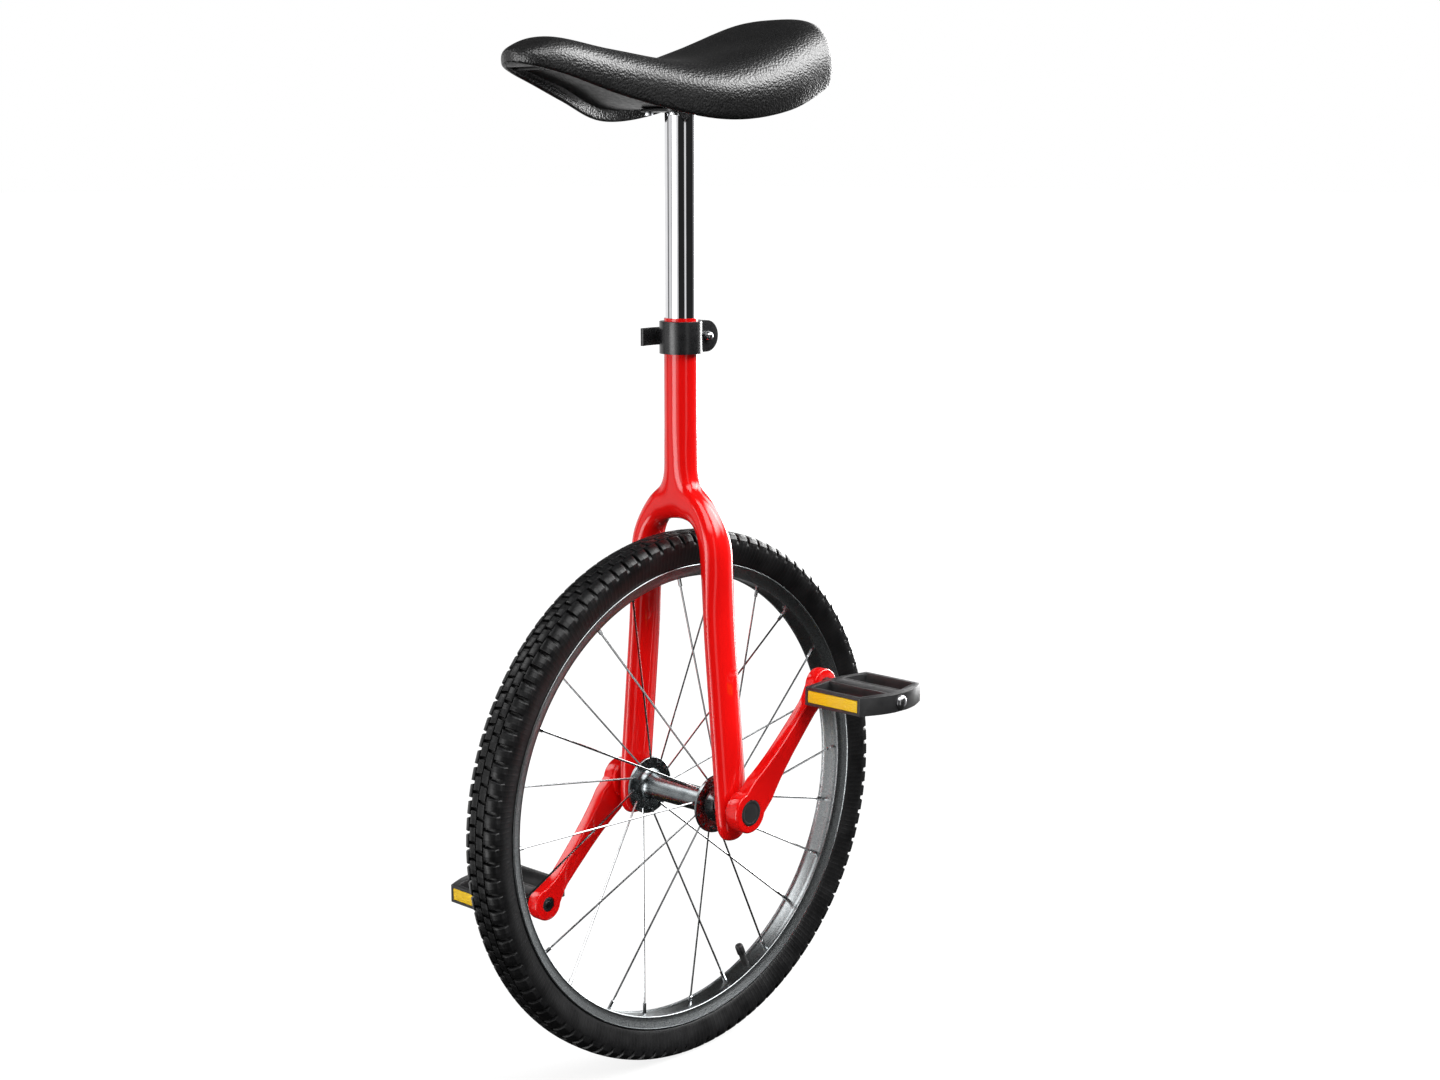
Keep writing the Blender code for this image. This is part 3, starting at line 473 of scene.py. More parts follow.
def plate(outline, low, high, axis="Z"):
    """An outline given a thickness: (y, z) points for axis X and (x, y) points for axis Z."""
    bm = bmesh.new()
    rings = []
    for along in (low, high):
        points = [(along, u, v) if axis == "X" else (u, v, along) for u, v in outline]
        rings.append([bm.verts.new(point) for point in points])
    join_rows(bm, *rings)
    bm.faces.new(rings[0])
    bm.faces.new(list(reversed(rings[1])))
    return outward(bm)


def loft(rings):
    bm = bmesh.new()
    rows = [[bm.verts.new(point) for point in ring] for ring in rings]
    for first, second in zip(rows, rows[1:]):
        join_rows(bm, first, second)
    bm.faces.new(rows[0])
    bm.faces.new(list(reversed(rows[-1])))
    return outward(bm)


def arc(centre, radius, start_deg, end_deg, steps):
    points = []
    for step in range(steps + 1):
        angle = math.radians(start_deg + (end_deg - start_deg) * step / steps)
        points.append((centre[0] + radius * math.cos(angle), centre[1] + radius * math.sin(angle)))
    return points


def both_halves(half):
    """A section given from its middle plane outwards, with its mirror image."""
    return half + [(-x, radius) for x, radius in reversed(half) if x > 0]


def wheel_point(x, radius, degrees):
    angle = math.radians(degrees)
    return Vector((x, radius * math.cos(angle), AXLE_Z + radius * math.sin(angle)))


def piece(obj, name, body, material, slot, *nodes):
    """Names a finished piece, gives it its material and its body, and lets it stand for its CAD nodes."""
    obj.name = name
    obj.data.name = name
    shown(obj)
    obj.data.materials.clear()
    obj.data.materials.append(material)
    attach(obj, body)
    if nodes:
        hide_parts(*nodes)
    return obj


# Materials


def new_material(name):
    material = bpy.data.materials.new(name)
    material.use_nodes = True
    return material, material.node_tree, material.node_tree.nodes["Principled BSDF"]


def wire(tree, node, values, links):
    """Sets a node's constant sockets and links its others."""
    for name, value in values.items():
        node.inputs[name].default_value = value
    for name, source in links.items():
        tree.links.new(source, node.inputs[name])
    return node


def new_node(tree, kind, values, links):
    return wire(tree, tree.nodes.new(kind), values, links)


def object_place(tree):
    return tree.nodes.new("ShaderNodeTexCoord").outputs["Object"]


def maths(tree, operation, *operands):
    node = tree.nodes.new("ShaderNodeMath")
    node.operation = operation
    for socket, value in zip(node.inputs, operands):
        if isinstance(value, float):
            socket.default_value = value
        else:
            tree.links.new(value, socket)
    return node.outputs[0]


def noise(tree, scale, detail=3.0, roughness=0.55, stretch=(1.0, 1.0, 1.0)):
    mapping = new_node(tree, "ShaderNodeMapping", {"Scale": stretch}, {"Vector": object_place(tree)})
    values = {"Scale": scale, "Detail": detail, "Roughness": roughness}
    return new_node(tree, "ShaderNodeTexNoise", values, {"Vector": mapping.outputs["Vector"]}).outputs["Fac"]


def ranged(tree, value, low, high, from_low=0.3, from_high=0.7):
    values = {"From Min": from_low, "From Max": from_high, "To Min": low, "To Max": high}
    return new_node(tree, "ShaderNodeMapRange", values, {"Value": value}).outputs["Result"]


def mixed(tree, share, first, second):
    mix = tree.nodes.new("ShaderNodeMix")
    mix.data_type = "RGBA"
    wire(tree, mix, {"A": (*first, 1.0), "B": (*second, 1.0)}, {"Factor": share})
    return mix.outputs["Result"]


def bump(tree, height, distance, strength=1.0, after=None):
    links = {"Height": height} if after is None else {"Height": height, "Normal": after}
    values = {"Distance": distance, "Strength": strength}
    return new_node(tree, "ShaderNodeBump", values, links).outputs["Normal"]


def finish(
    name, color, other, roughness, metallic=0.0, mottle=40.0, grain=900.0, depth=0.00005,
    stretch=(1.0, 1.0, 1.0), coat=0.0, coat_roughness=0.05, shine=0.5,
):
    """A surface with two mottled colours, a roughness that wanders between two values and a fine grain."""
    material, tree, shader = new_material(name)
    patches = noise(tree, mottle, 4.0)
    wander = noise(tree, mottle * 2.7, 3.0, stretch=stretch)
    relief = noise(tree, grain, 2.0, stretch=stretch)
    values = {"Metallic": metallic, "Coat Weight": coat, "Coat Roughness": coat_roughness}
    links = {
        "Base Color": mixed(tree, ranged(tree, patches, 0.0, 1.0), color, other),
        "Roughness": ranged(tree, wander, *roughness),
        "Normal": bump(tree, relief, depth),
    }
    wire(tree, shader, {**values, "Specular IOR Level": shine}, links)
    return material


def vinyl():
    """Pebbled vinyl: small rounded grains parted by fine creases, over a slow change of tone."""
    material, tree, shader = new_material("saddle_vinyl")
    cells = tree.nodes.new("ShaderNodeTexVoronoi")
    cells.feature = "SMOOTH_F1"
    wire(tree, cells, {"Scale": 500.0, "Smoothness": 0.5}, {"Vector": object_place(tree)})
    distance = cells.outputs["Distance"]
    pebbles = bump(tree, distance, -0.0008, 0.5)
    patches = ranged(tree, noise(tree, 30.0, 3.0), 0.0, 1.0)
    links = {
        "Base Color": mixed(tree, patches, (0.0060, 0.0060, 0.0063), (0.0100, 0.0100, 0.0104)),
        "Roughness": ranged(tree, distance, 0.28, 0.40, 0.1, 0.7),
        "Normal": bump(tree, noise(tree, 190.0, 3.0), 0.0006, 0.5, pebbles),
    }
    wire(tree, shader, {"Specular IOR Level": 0.85}, links)
    return material


def tyre_rubber():
    """Black rubber with fine moulded ribs across the sidewall."""
    material, tree, shader = new_material("tyre_tread")
    parts = new_node(tree, "ShaderNodeSeparateXYZ", {}, {"Vector": object_place(tree)})
    above_axle = maths(tree, "SUBTRACT", parts.outputs["Z"], AXLE_Z)
    angle = maths(tree, "ARCTAN2", above_axle, parts.outputs["Y"])
    wave = maths(tree, "SINE", maths(tree, "MULTIPLY", angle, TREAD_PITCHES * 3.0))
    ribs = bump(tree, ranged(tree, wave, 0.0, 1.0, 0.2, 1.0), 0.00010)
    patches = noise(tree, 45.0, 5.0)
    share = ranged(tree, patches, 0.0, 1.0)
    links = {
        "Base Color": mixed(tree, share, (0.0042, 0.0042, 0.0045), (0.0085, 0.0085, 0.0090)),
        "Roughness": ranged(tree, patches, 0.30, 0.46),
        "Normal": bump(tree, noise(tree, 1500.0, 3.0), 0.00008, 1.0, ribs),
    }
    wire(tree, shader, {"Specular IOR Level": 0.34}, links)
    return material


def amber_lens():
    """Amber plastic over small moulded prisms, with painted light: each prism is painted lighter amber at its
    middle as a glint and deeper amber towards its edges.
    """
    material, tree, shader = new_material("amber_reflector")
    prisms = tree.nodes.new("ShaderNodeTexVoronoi")
    prisms.distance = "CHEBYCHEV"
    wire(tree, prisms, {"Scale": 650.0, "Randomness": 0.35}, {"Vector": object_place(tree)})
    distance = prisms.outputs["Distance"]
    # painted glints: the base colour is lighter amber at each prism's middle and deeper amber towards its
    # edges
    painted_prism_glints = ranged(tree, distance, 0.0, 1.0, 0.1, 0.8)
    links = {
        "Base Color": mixed(tree, painted_prism_glints, (0.95, 0.62, 0.012), (0.84, 0.47, 0.006)),
        "Roughness": ranged(tree, noise(tree, 300.0), 0.10, 0.28),
        "Normal": bump(tree, distance, 0.0006, 0.6),
    }
    wire(tree, shader, {"Coat Weight": 0.3, "Specular IOR Level": 0.25}, links)
    return material


RED = finish(
    "red_enamel", (0.830, 0.0048, 0.0042), (0.790, 0.0042, 0.0038), (0.30, 0.38), mottle=18.0, grain=420.0,
    depth=0.000006, coat=1.0, coat_roughness=0.03, shine=0.04,
)
RUBBER = tyre_rubber()
SOFT_RUBBER = finish(
    "plain_rubber", (0.012, 0.012, 0.012), (0.020, 0.020, 0.020), (0.55, 0.75), grain=1400.0,
)
RIM = finish(
    "rim_metal", (0.27, 0.290, 0.298), (0.42, 0.440, 0.448), (0.24, 0.36), 1.0, mottle=520.0, grain=1700.0,
    depth=0.00006,
)
SPOKE = finish(
    "spoke_wire", (0.62, 0.63, 0.64), (0.46, 0.47, 0.48), (0.10, 0.20), 1.0, mottle=160.0, grain=1800.0,
    depth=0.00002,
)
HUB = finish(
    "hub_metal", (0.20, 0.222, 0.232), (0.31, 0.335, 0.345), (0.20, 0.32), 1.0, mottle=120.0, grain=1500.0,
    depth=0.00003, stretch=(0.2, 1.0, 1.0),
)
STEEL = finish(
    "turned_steel", (0.46, 0.47, 0.48), (0.56, 0.57, 0.58), (0.20, 0.34), 1.0, mottle=160.0, grain=1600.0,
    depth=0.00003, stretch=(1.0, 0.3, 0.3),
)
CHROME = finish(
    "bright_chrome", (0.86, 0.86, 0.88), (0.80, 0.80, 0.82), (0.035, 0.075), 1.0, mottle=60.0, grain=700.0,
    depth=0.000004, stretch=(1.0, 1.0, 0.15),
)
DULL_CHROME = finish(
    "dull_chrome", (0.62, 0.62, 0.64), (0.54, 0.54, 0.56), (0.20, 0.28), 1.0, mottle=90.0, grain=1500.0,
    depth=0.00002,
)
DARK_STEEL = finish(
    "dark_steel", (0.060, 0.062, 0.064), (0.10, 0.102, 0.105), (0.30, 0.42), 1.0, mottle=160.0, grain=1600.0,
    depth=0.00003,
)
BLACK_METAL = finish(
    "black_satin", (0.012, 0.012, 0.013), (0.017, 0.017, 0.018), (0.24, 0.36), mottle=140.0, grain=1300.0,
    depth=0.00003, coat=0.25, coat_roughness=0.2,
)
BLACK_PLASTIC = finish(
    "moulded_black", (0.020, 0.020, 0.021), (0.032, 0.032, 0.033), (0.28, 0.42), mottle=90.0, grain=1500.0,
    depth=0.00006, shine=0.7,
)
AMBER = amber_lens()
VINYL = vinyl()


# Tyre


def crown_radius(x, rise=CROWN_RISE, power=CROWN_POWER):
    share = min(1.0, abs(x) / TYRE_HALF_WIDTH)
    return TYRE_SIDE_R + rise * (1 - share**power) ** (1 / power)


def tyre_carcass():
    half = []
    for step in range(CROWN_STEPS + 1):
        x = TYRE_HALF_WIDTH * math.sin(PI / 2 * step / CROWN_STEPS)
        half.append((x, crown_radius(x, CARCASS_RISE, CARCASS_POWER)))
    return turned(both_halves([*half, *TYRE_WALL]), TYRE_SEGMENTS, centre=AXLE_CENTRE)


def tread_block(bm, start, end, outline, lean=0.0, pinch=0.0):
    """A block with slanting flanks between two angles, under a top outline of (x, radius) points.

    The lean is how far the block's outer side is turned on round the wheel from its inner side, and the
    pinch how much shorter it is there.
    """
    last = len(outline) - 1
    rows = []
    for top in (False, True):
        for angle, along in ((start, 1), (end, -1)):
            row = []
            for i, (x, radius) in enumerate(outline):
                grow = BLOCK_DRAFT if top else -BLOCK_DRAFT
                turn = angle + along * (grow / TYRE_SIDE_R + pinch * i / last) + lean * i / last
                if not top:
                    radius = crown_radius(x, CARCASS_RISE, CARCASS_POWER) - BLOCK_ROOT
                row.append(bm.verts.new((x, radius * math.cos(turn), AXLE_Z + radius * math.sin(turn))))
            rows.append(row)
    low_start, low_end, top_start, top_end = rows
    for i in range(last):
        bm.faces.new((top_start[i], top_start[i + 1], top_end[i + 1], top_end[i]))
        bm.faces.new((low_start[i], low_end[i], low_end[i + 1], low_start[i + 1]))
        bm.faces.new((low_start[i], low_start[i + 1], top_start[i + 1], top_start[i]))
        bm.faces.new((low_end[i], top_end[i], top_end[i + 1], low_end[i + 1]))
    for i in (0, last):
        bm.faces.new((low_start[i], top_start[i], top_end[i], low_end[i]))


def tread():
    """Two staggered rows of square blocks, and a row of shoulder blocks with a slanting face each side."""
    bm = bmesh.new()
    pitch = 2 * PI / TREAD_PITCHES
    for index in range(TREAD_PITCHES):
        at = index * pitch
        for side in (1, -1):
            near = at if side > 0 else at + 0.5 * pitch
            middle = [(side * x, crown_radius(x)) for x in MIDDLE_BLOCK_X]
            tread_block(bm, near, near + MIDDLE_BLOCK_END * pitch, middle, MIDDLE_BLOCK_LEAN * pitch)
            shoulder = [(side * x, crown_radius(x)) for x in SHOULDER_BLOCK_X]
            shoulder += [(side * x, radius) for x, radius in SHOULDER_BLOCK_SIDE]
            start, end, lean, pinch = (share * pitch for share in SHOULDER_BLOCK_SHARES)
            tread_block(bm, near + start, near + end, shoulder, lean, pinch)
    return rounded(outward(bm), BLOCK_ROUND, 2, 30)


def make_tyre():
    both = merged([tyre_carcass(), tread()])
    piece(smooth(both, 40), "tyre_tread", "wheel", RUBBER, "tyre_rubber", "tyre")


# Rim, hub and valve


def spoke_line(index):
    side = 1 if index % 2 == 0 else -1
    rim_deg = FIRST_SPOKE_DEG + index * 360.0 / SPOKE_COUNT
    hub = wheel_point(side * FLANGE_X, HUB_HOLE_CIRCLE_R, rim_deg + SPOKE_TRAIL_DEG)
    elbow = hub - Vector((side * (FLANGE_HALF + SPOKE_ELBOW), 0, 0))
    along = wheel_point(side * NIPPLE_X, NIPPLE_R, rim_deg) - elbow
    return side, hub, elbow, along.normalized(), along.length


def make_rim():
    """A hooked rim with a shallow well, a fine bead along each of its edges, and an eyelet for each spoke."""
    half = [*RIM_WELL, *arc(RIM_BEAD_CENTRE, RIM_BEAD_R, 225, 375, 7), *RIM_FLANGE]
    made = turned(both_halves(half), RIM_SEGMENTS, centre=AXLE_CENTRE)
    piece(smooth(made, 50), "rim_hoop", "wheel", RIM, "rim_alloy", "rim")
    rings = []
    for index in range(SPOKE_COUNT):
        _side, _hub, elbow, along, length = spoke_line(index)
        seat = elbow + along * (length - EYELET_SEAT)
        ring = rod(seat - along * EYELET_IN, seat + along * EYELET_OUT, EYELET_R, 28)
        bore = rod(seat - along * CUT_REACH, seat + along * CUT_REACH, EYELET_BORE_R, 20)
        rings.append(boolean(ring, bore))
    eyelets = rounded(merged(rings), 0.0003, 2)
    piece(eyelets, "rim_eyelets", "wheel", STEEL, "rim_alloy")


def make_hub():
    inner = FLANGE_X - FLANGE_HALF
    outer = FLANGE_X + FLANGE_HALF
    rim = FLANGE_R - FLANGE_CHAMFER
    half = [*HUB_BARREL, (inner, HUB_SHOULDER_R), (inner, rim), (inner + FLANGE_CHAMFER, FLANGE_R)]
    half += [(outer - FLANGE_CHAMFER, FLANGE_R), (outer, rim), (outer, HUB_SHOULDER_R), *HUB_END]
    made = turned(both_halves(half), 96, centre=AXLE_CENTRE)
    reach = Vector((FLANGE_HALF + SPOKE_HOLE_REACH, 0, 0))
    cutters = []
    for index in range(SPOKE_COUNT):
        _side, hub, _elbow, _along, _length = spoke_line(index)
        cutters.append(rod(hub - reach, hub + reach, SPOKE_HOLE_R, 16))
    made = boolean(made, merged(cutters))
    piece(smooth(made, 30), "hub_body", "wheel", HUB, "hub_steel", "hub_shell")


def make_valve():
    base = wheel_point(0, VALVE_BASE, VALVE_DEG)
    out = (wheel_point(0, VALVE_BASE + 0.1, VALVE_DEG) - base).normalized()
    place = Matrix.Translation(base) @ out.to_track_quat("Z", "Y").to_matrix().to_4x4()
    low, high = (distance - VALVE_BASE for distance in VALVE_GROOVE_SPAN)
    for name, outline, material, slot, node in (
        ("valve_tube", VALVE_STEM, SOFT_RUBBER, "black_rubber", "valve_stem"),
        ("valve_top", VALVE_CAP, BLACK_PLASTIC, "black_plastic", "valve_cap"),
    ):
        profile = [(distance - VALVE_BASE, radius) for distance, radius in outline]
        made = turned(profile, 32, axis="Z", closed=False)
        if node == "valve_cap":
            grooves = []
            for step in range(VALVE_GROOVES):
                angle = 2 * PI * step / VALVE_GROOVES
                x = VALVE_GROOVE_CIRCLE_R * math.cos(angle)
                y = VALVE_GROOVE_CIRCLE_R * math.sin(angle)
                grooves.append(rod((x, y, low), (x, y, high), VALVE_GROOVE_R, 8))
            made = boolean(made, merged(grooves))
        made.data.transform(place)
        piece(smooth(made, 30), name, "wheel", material, slot, node)


# Cranks and pedals


def crank_degrees(side):
    return CRANK_DEG if side > 0 else CRANK_DEG + 180.0


def pedal_place(side):
    degrees = crank_degrees(side)
    return CRANK_LENGTH * cosd(degrees), AXLE_Z + CRANK_LENGTH * sind(degrees)


def crank_outline(degrees):
    local = arc((0.0, 0.0), CRANK_BOSS_R, 303, 57, 40)
    local += CRANK_SIDE
    local += arc((CRANK_LENGTH, 0.0), CRANK_END_R, 128, -128, 40)
    local += [(u, -v) for u, v in reversed(CRANK_SIDE)]
    cos = cosd(degrees)
    sin = sind(degrees)
    return [(u * cos - v * sin, AXLE_Z + u * sin + v * cos) for u, v in local]


def make_crank(side, word):
    faces = sorted((side * CRANK_IN_X, side * CRANK_OUT_X))
    outline = crank_outline(crank_degrees(side))
    arm = rounded(plate(outline, *faces, axis="X"), CRANK_ROUND, 5, 50)
    inside = side * (CRANK_IN_X + CRANK_HUB_OVERLAP)
    boss = rod((side * CRANK_HUB_X, 0, AXLE_Z), (inside, 0, AXLE_Z), CRANK_HUB_R, 72)
    body = boolean(arm, rounded(boss, 0.0008, 3), "UNION")
    y, z = pedal_place(side)
    low, high = CRANK_CUT_X
    for start, at_y, at_z, radius in (
        (low, 0.0, AXLE_Z, CRANK_BORE_R),
        (CAP_SEAT_X, 0.0, AXLE_Z, CAP_R + CAP_GAP),
        (low, y, z, CRANK_PEDAL_BORE_R),
    ):
        body = boolean(body, rod((side * start, at_y, at_z), (side * high, at_y, at_z), radius, 64))
    piece(smooth(body, 28), f"crank_arm_{word}", "wheel", RED, "red_paint", f"crank_{word}")


def turned_at(stations, side, y, z, segments=64):
    profile = [(side * along, radius) for along, radius in stations]
    return smooth(turned(profile, segments, centre=(0, y, z), closed=False), 30)


def make_crank_fittings(side, word):
    cap = turned_at(DUST_CAP, side, 0, AXLE_Z)
    piece(cap, f"dust_cap_{word}", "wheel", BLACK_PLASTIC, "black_plastic", f"crank_cap_{word}")
    spindle = turned_at(PEDAL_SPINDLE, side, *pedal_place(side))
    piece(spindle, f"pedal_spindle_{word}", "wheel", DARK_STEEL, "plain_steel", f"pedal_axle_{word}")


def pedal_outline():
    inner = PEDAL_IN_X - PEDAL_IN_BOW
    quarter = [(PEDAL_IN_X, PEDAL_HALF_LENGTH), (PEDAL_OUT_X, PEDAL_HALF_LENGTH)]
    for share_y, share_x in PEDAL_BOW:
        quarter.append((PEDAL_OUT_X + PEDAL_OUT_BOW * share_x, share_y * PEDAL_HALF_LENGTH))
    mirrored = [(x, -y) for x, y in reversed(quarter)]
    flat = PEDAL_FLAT_SHARE * PEDAL_HALF_LENGTH
    return [*quarter, *mirrored, (inner, -flat), (inner, flat)]


def make_pedal(side, word):
    """A moulded platform with two slots, grooves along its web and a deep reflector pocket at each end."""
    body_name = f"{word}_pedal"
    y0, z0 = pedal_place(side)
    low = z0 - PEDAL_HALF_THICK
    high = z0 + PEDAL_HALF_THICK
    middle = (PEDAL_IN_X + PEDAL_OUT_X) / 2

    def placed(points):
        return [(side * x, y0 + y) for x, y in points]

    def block(xs, ys, z_low, z_high):
        """A box between two distances out from the wheel and two along the pedal."""
        near_x, far_x = sorted(side * x for x in xs)
        near_y, far_y = sorted(y0 + y for y in ys)
        return box((near_x, near_y, z_low), (far_x, far_y, z_high))

    body = plate(placed(pedal_outline()), low, high)
    for end in (1, -1):
        slot = placed([(x, end * y) for x, y in PEDAL_SLOT])
        body = boolean(body, plate(slot, low - CUT_REACH, high + CUT_REACH))
    for end in (1, -1):
        xs = (middle - REFLECTOR_HALF, middle + REFLECTOR_HALF)
        ys = (end * (PEDAL_HALF_LENGTH - REFLECTOR_POCKET), end * (PEDAL_HALF_LENGTH + CUT_REACH))
        body = boolean(body, block(xs, ys, z0 - REFLECTOR_HALF_TALL, z0 + REFLECTOR_HALF_TALL))
        ys = [end * y for y in PEDAL_GROOVE_Y]
        for level in (low, high):
            groove = block(PEDAL_GROOVE_X, ys, level - PEDAL_GROOVE_DEPTH, level + PEDAL_GROOVE_DEPTH)
            body = boolean(body, groove)
    body = rounded(body, PEDAL_ROUND, 3, 30)
    bore = rod(*((side * x, y0, z0) for x in PEDAL_BORE_X), PEDAL_BORE_R, 48)
    body = smooth(boolean(body, bore), 32)
    piece(body, f"pedal_platform_{word}", body_name, BLACK_PLASTIC, "black_plastic", f"pedal_{word}")
    plug = turned_at(PEDAL_PLUG, side, y0, z0, 48)
    piece(plug, f"pedal_plug_{word}", body_name, DULL_CHROME, "bright_chrome", f"pedal_cap_{word}")
    for end, place in ((-1, "front"), (1, "rear")):
        half_x = REFLECTOR_HALF - LENS_GAP
        half_z = REFLECTOR_HALF_TALL - LENS_GAP
        ys = (end * (PEDAL_HALF_LENGTH - LENS_BACK), end * (PEDAL_HALF_LENGTH - LENS_SUNK))
        lens = block((middle - half_x, middle + half_x), ys, z0 - half_z, z0 + half_z)
        lens = smooth(rounded(lens, LENS_ROUND, 3))
        piece(lens, f"lens_{word}_{place}", body_name, AMBER, "amber_reflector", f"reflector_{word}_{place}")


# Frame, clamp and post


def eased_step(value, low, high):
    share = min(max((value - low) / (high - low), 0.0), 1.0)
    return share * share * (3 - 2 * share)


def shape_tube(vert):
    """Draws a point of the smoothed frame onto the round neck, or onto the oval leg that it belongs to."""
    x, y, z = vert.co
    neck = eased_step(z, *NECK_BLEND_Z)
    if neck > 0:
        reach = math.hypot(x, y)
        scale = 1 + neck * (NECK_R / reach - 1)
        vert.co.x = x * scale
        vert.co.y = y * scale
        return
    leg = eased_step(z, AXLE_Z, AXLE_Z + 0.02) * (1 - eased_step(z, *LEG_BLEND_Z))
    if leg > 0:
        outwards = SHOULDER_OUT * eased_step(z, *SHOULDER_OUT_Z)
        centre = math.copysign(LEG_AXLE_X - LEG_SPLAY * (z - AXLE_Z) + outwards, x)
        shoulder = eased_step(z, *SHOULDER_GROWTH_Z)
        half_x = LEG_HALF_X + SHOULDER_GROWTH[0] * shoulder
        half_y = LEG_HALF_Y + SHOULDER_GROWTH[1] * shoulder
        reach = math.hypot((x - centre) / half_x, y / half_y)
        scale = 1 + leg * (1 / reach - 1)
        vert.co.x = centre + (x - centre) * scale
        vert.co.y = y * scale
        return
    # a soft valley front and back, where the two legs part below the neck
    across = math.exp(-((x / VALLEY_SPREAD[0]) ** 2))
    upright = math.exp(-(((z - VALLEY_Z) / VALLEY_SPREAD[1]) ** 2))
    vert.co.y = y * (1 - VALLEY_DEPTH * across * upright)


def make_frame():
    """A branching skin over the neck, the crown and both legs, drawn onto their true sections, then bored."""
    fuller = 1 / SKIN_SHRINK
    neck = NECK_R * fuller
    leg_x = LEG_HALF_X * fuller
    leg_y = LEG_HALF_Y * fuller
    bm = bmesh.new()
    sizes = []

    def station(x, z, half_x, half_y, before=None):
        vert = bm.verts.new((x, 0.0, z))
        sizes.append((half_x, half_y))
        if before is not None:
            bm.edges.new((before, vert))
        return vert

    top = station(0, NECK_TOP_Z + 0.03, neck, neck)
    middle = station(0, NECK_MIDDLE_Z, neck, neck, top)
    low_neck = station(0, NECK_LOW_Z, neck, neck, middle)
    crown = station(0, CROWN_Z, neck * CROWN_FULL[0], neck * CROWN_FULL[1], low_neck)
    for side in (1, -1):
        bend = station(side * BEND_X, CROWN_Z, neck, BEND_HALF_Y * fuller, crown)
        shoulder_size = [size * fuller for size in SHOULDER_HALF]
        shoulder = station(side * SHOULDER_X, SHOULDER_Z, *shoulder_size, bend)
        thigh = station(side * THIGH_X, THIGH_Z, leg_y, leg_x * THIGH_FULL, shoulder)
        shin = station(side * (LEG_AXLE_X - LEG_SPLAY * SHIN_UP), AXLE_Z + SHIN_UP, leg_y, leg_x, thigh)
        ankle = station(side * LEG_AXLE_X, ANKLE_Z, leg_y, leg_x, shin)
        station(side * FOOT_X, FOOT_Z, leg_y * FOOT_FULL[0], leg_x * FOOT_FULL[1], ankle)
    obj = object_from_bmesh(bm)
    skin = obj.modifiers.new("tubes", "SKIN")
    skin.branch_smoothing = 0.6
    for data, (half_x, half_y) in zip(obj.data.skin_vertices[0].data, sizes):
        data.radius = (half_x, half_y)
    body = subdivided(obj, SKIN_LEVELS)
    for vert in body.data.vertices:
        shape_tube(vert)
    body = boolean(body, box((-0.05, -0.05, NECK_TOP_Z), (0.05, 0.05, NECK_TOP_Z + 0.1)))
    body = boolean(body, rod((0, 0, NECK_BORE_Z), (0, 0, NECK_TOP_Z + 0.05), NECK_BORE_R, 96))
    body = boolean(body, rod((-0.1, 0, AXLE_Z), (0.1, 0, AXLE_Z), LEG_BORE_R, 72))
    piece(smooth(body, 30), "frame_paint", "frame", RED, "red_paint", "frame")


def make_clamp():
    middle = (CLAMP_LOW_Z + CLAMP_TOP_Z) / 2
    half = (CLAMP_TOP_Z - CLAMP_LOW_Z) / 2 - 0.0002
    ring = rod((0, 0, CLAMP_LOW_Z), (0, 0, CLAMP_TOP_Z), CLAMP_R, 96)
    outline = [(0.012, middle + half), (0.012, middle - half)]
    outline += arc((CLAMP_EAR_Y, middle), half, -90, 90, 32)
    band = boolean(ring, plate(outline, -CLAMP_EAR_HALF, CLAMP_EAR_HALF, axis="X"), "UNION")
    low = CLAMP_LOW_Z - CUT_REACH
    high = CLAMP_TOP_Z + CUT_REACH
    band = boolean(band, rod((0, 0, low), (0, 0, high), NECK_R + 0.0005, 96))
    band = boolean(band, box((-CLAMP_SLIT_HALF, 0.005, low), (CLAMP_SLIT_HALF, 0.06, high)))
    band = rounded(band, 0.0007, 3, 40)
    band = boolean(band, rod((-0.02, CLAMP_EAR_Y, middle), (0.02, CLAMP_EAR_Y, middle), CLAMP_PIN_R, 32))
    piece(smooth(band, 32), "clamp_ring", "frame", BLACK_METAL, "black_metal", "clamp_band")
    nut = turned_at(CLAMP_NUT, 1, CLAMP_EAR_Y, middle, 48)
    piece(nut, "skewer_nut", "frame", DULL_CHROME, "bright_chrome", "clamp_nut")
    make_lever(middle)


def make_lever(z):
    low = z - LEVER_HALF_TALL
    high = z + LEVER_HALF_TALL
    x0 = LEVER_PIVOT_X
    y0 = CLAMP_EAR_Y
    boss = rod((x0, y0, low), (x0, y0, high), LEVER_BOSS_R, 64)
    body = boolean(boss, plate(LEVER_OUTLINE, low + 0.0002, high - 0.0002), "UNION")
    in_x, in_y, half_z = LEVER_SLOT
    slot = box((x0 - in_x, y0 - in_y, z - half_z), (x0 + CUT_REACH, y0 + CUT_REACH, z + half_z))
    body = rounded(boolean(body, slot), 0.0006, 3, 40)
    body = boolean(body, rod((x0, y0, low - CUT_REACH), (x0, y0, high + CUT_REACH), CLAMP_PIN_R, 32))
    piece(smooth(body, 32), "lever_arm", "lever", BLACK_METAL, "black_metal", "clamp_lever")


def make_post():
    profile = [(POST_TOP_Z, POST_R), (POST_LOW_Z + POST_LIP, POST_R), (POST_LOW_Z, POST_R - POST_LIP)]
    profile += [(POST_LOW_Z, POST_R - POST_WALL), (POST_TOP_Z, POST_R - POST_WALL)]
    made = turned(profile, 128, axis="Z")
    piece(smooth(made, 30), "post_tube", "seat", CHROME, "bright_chrome", "seat_post")


# Saddle


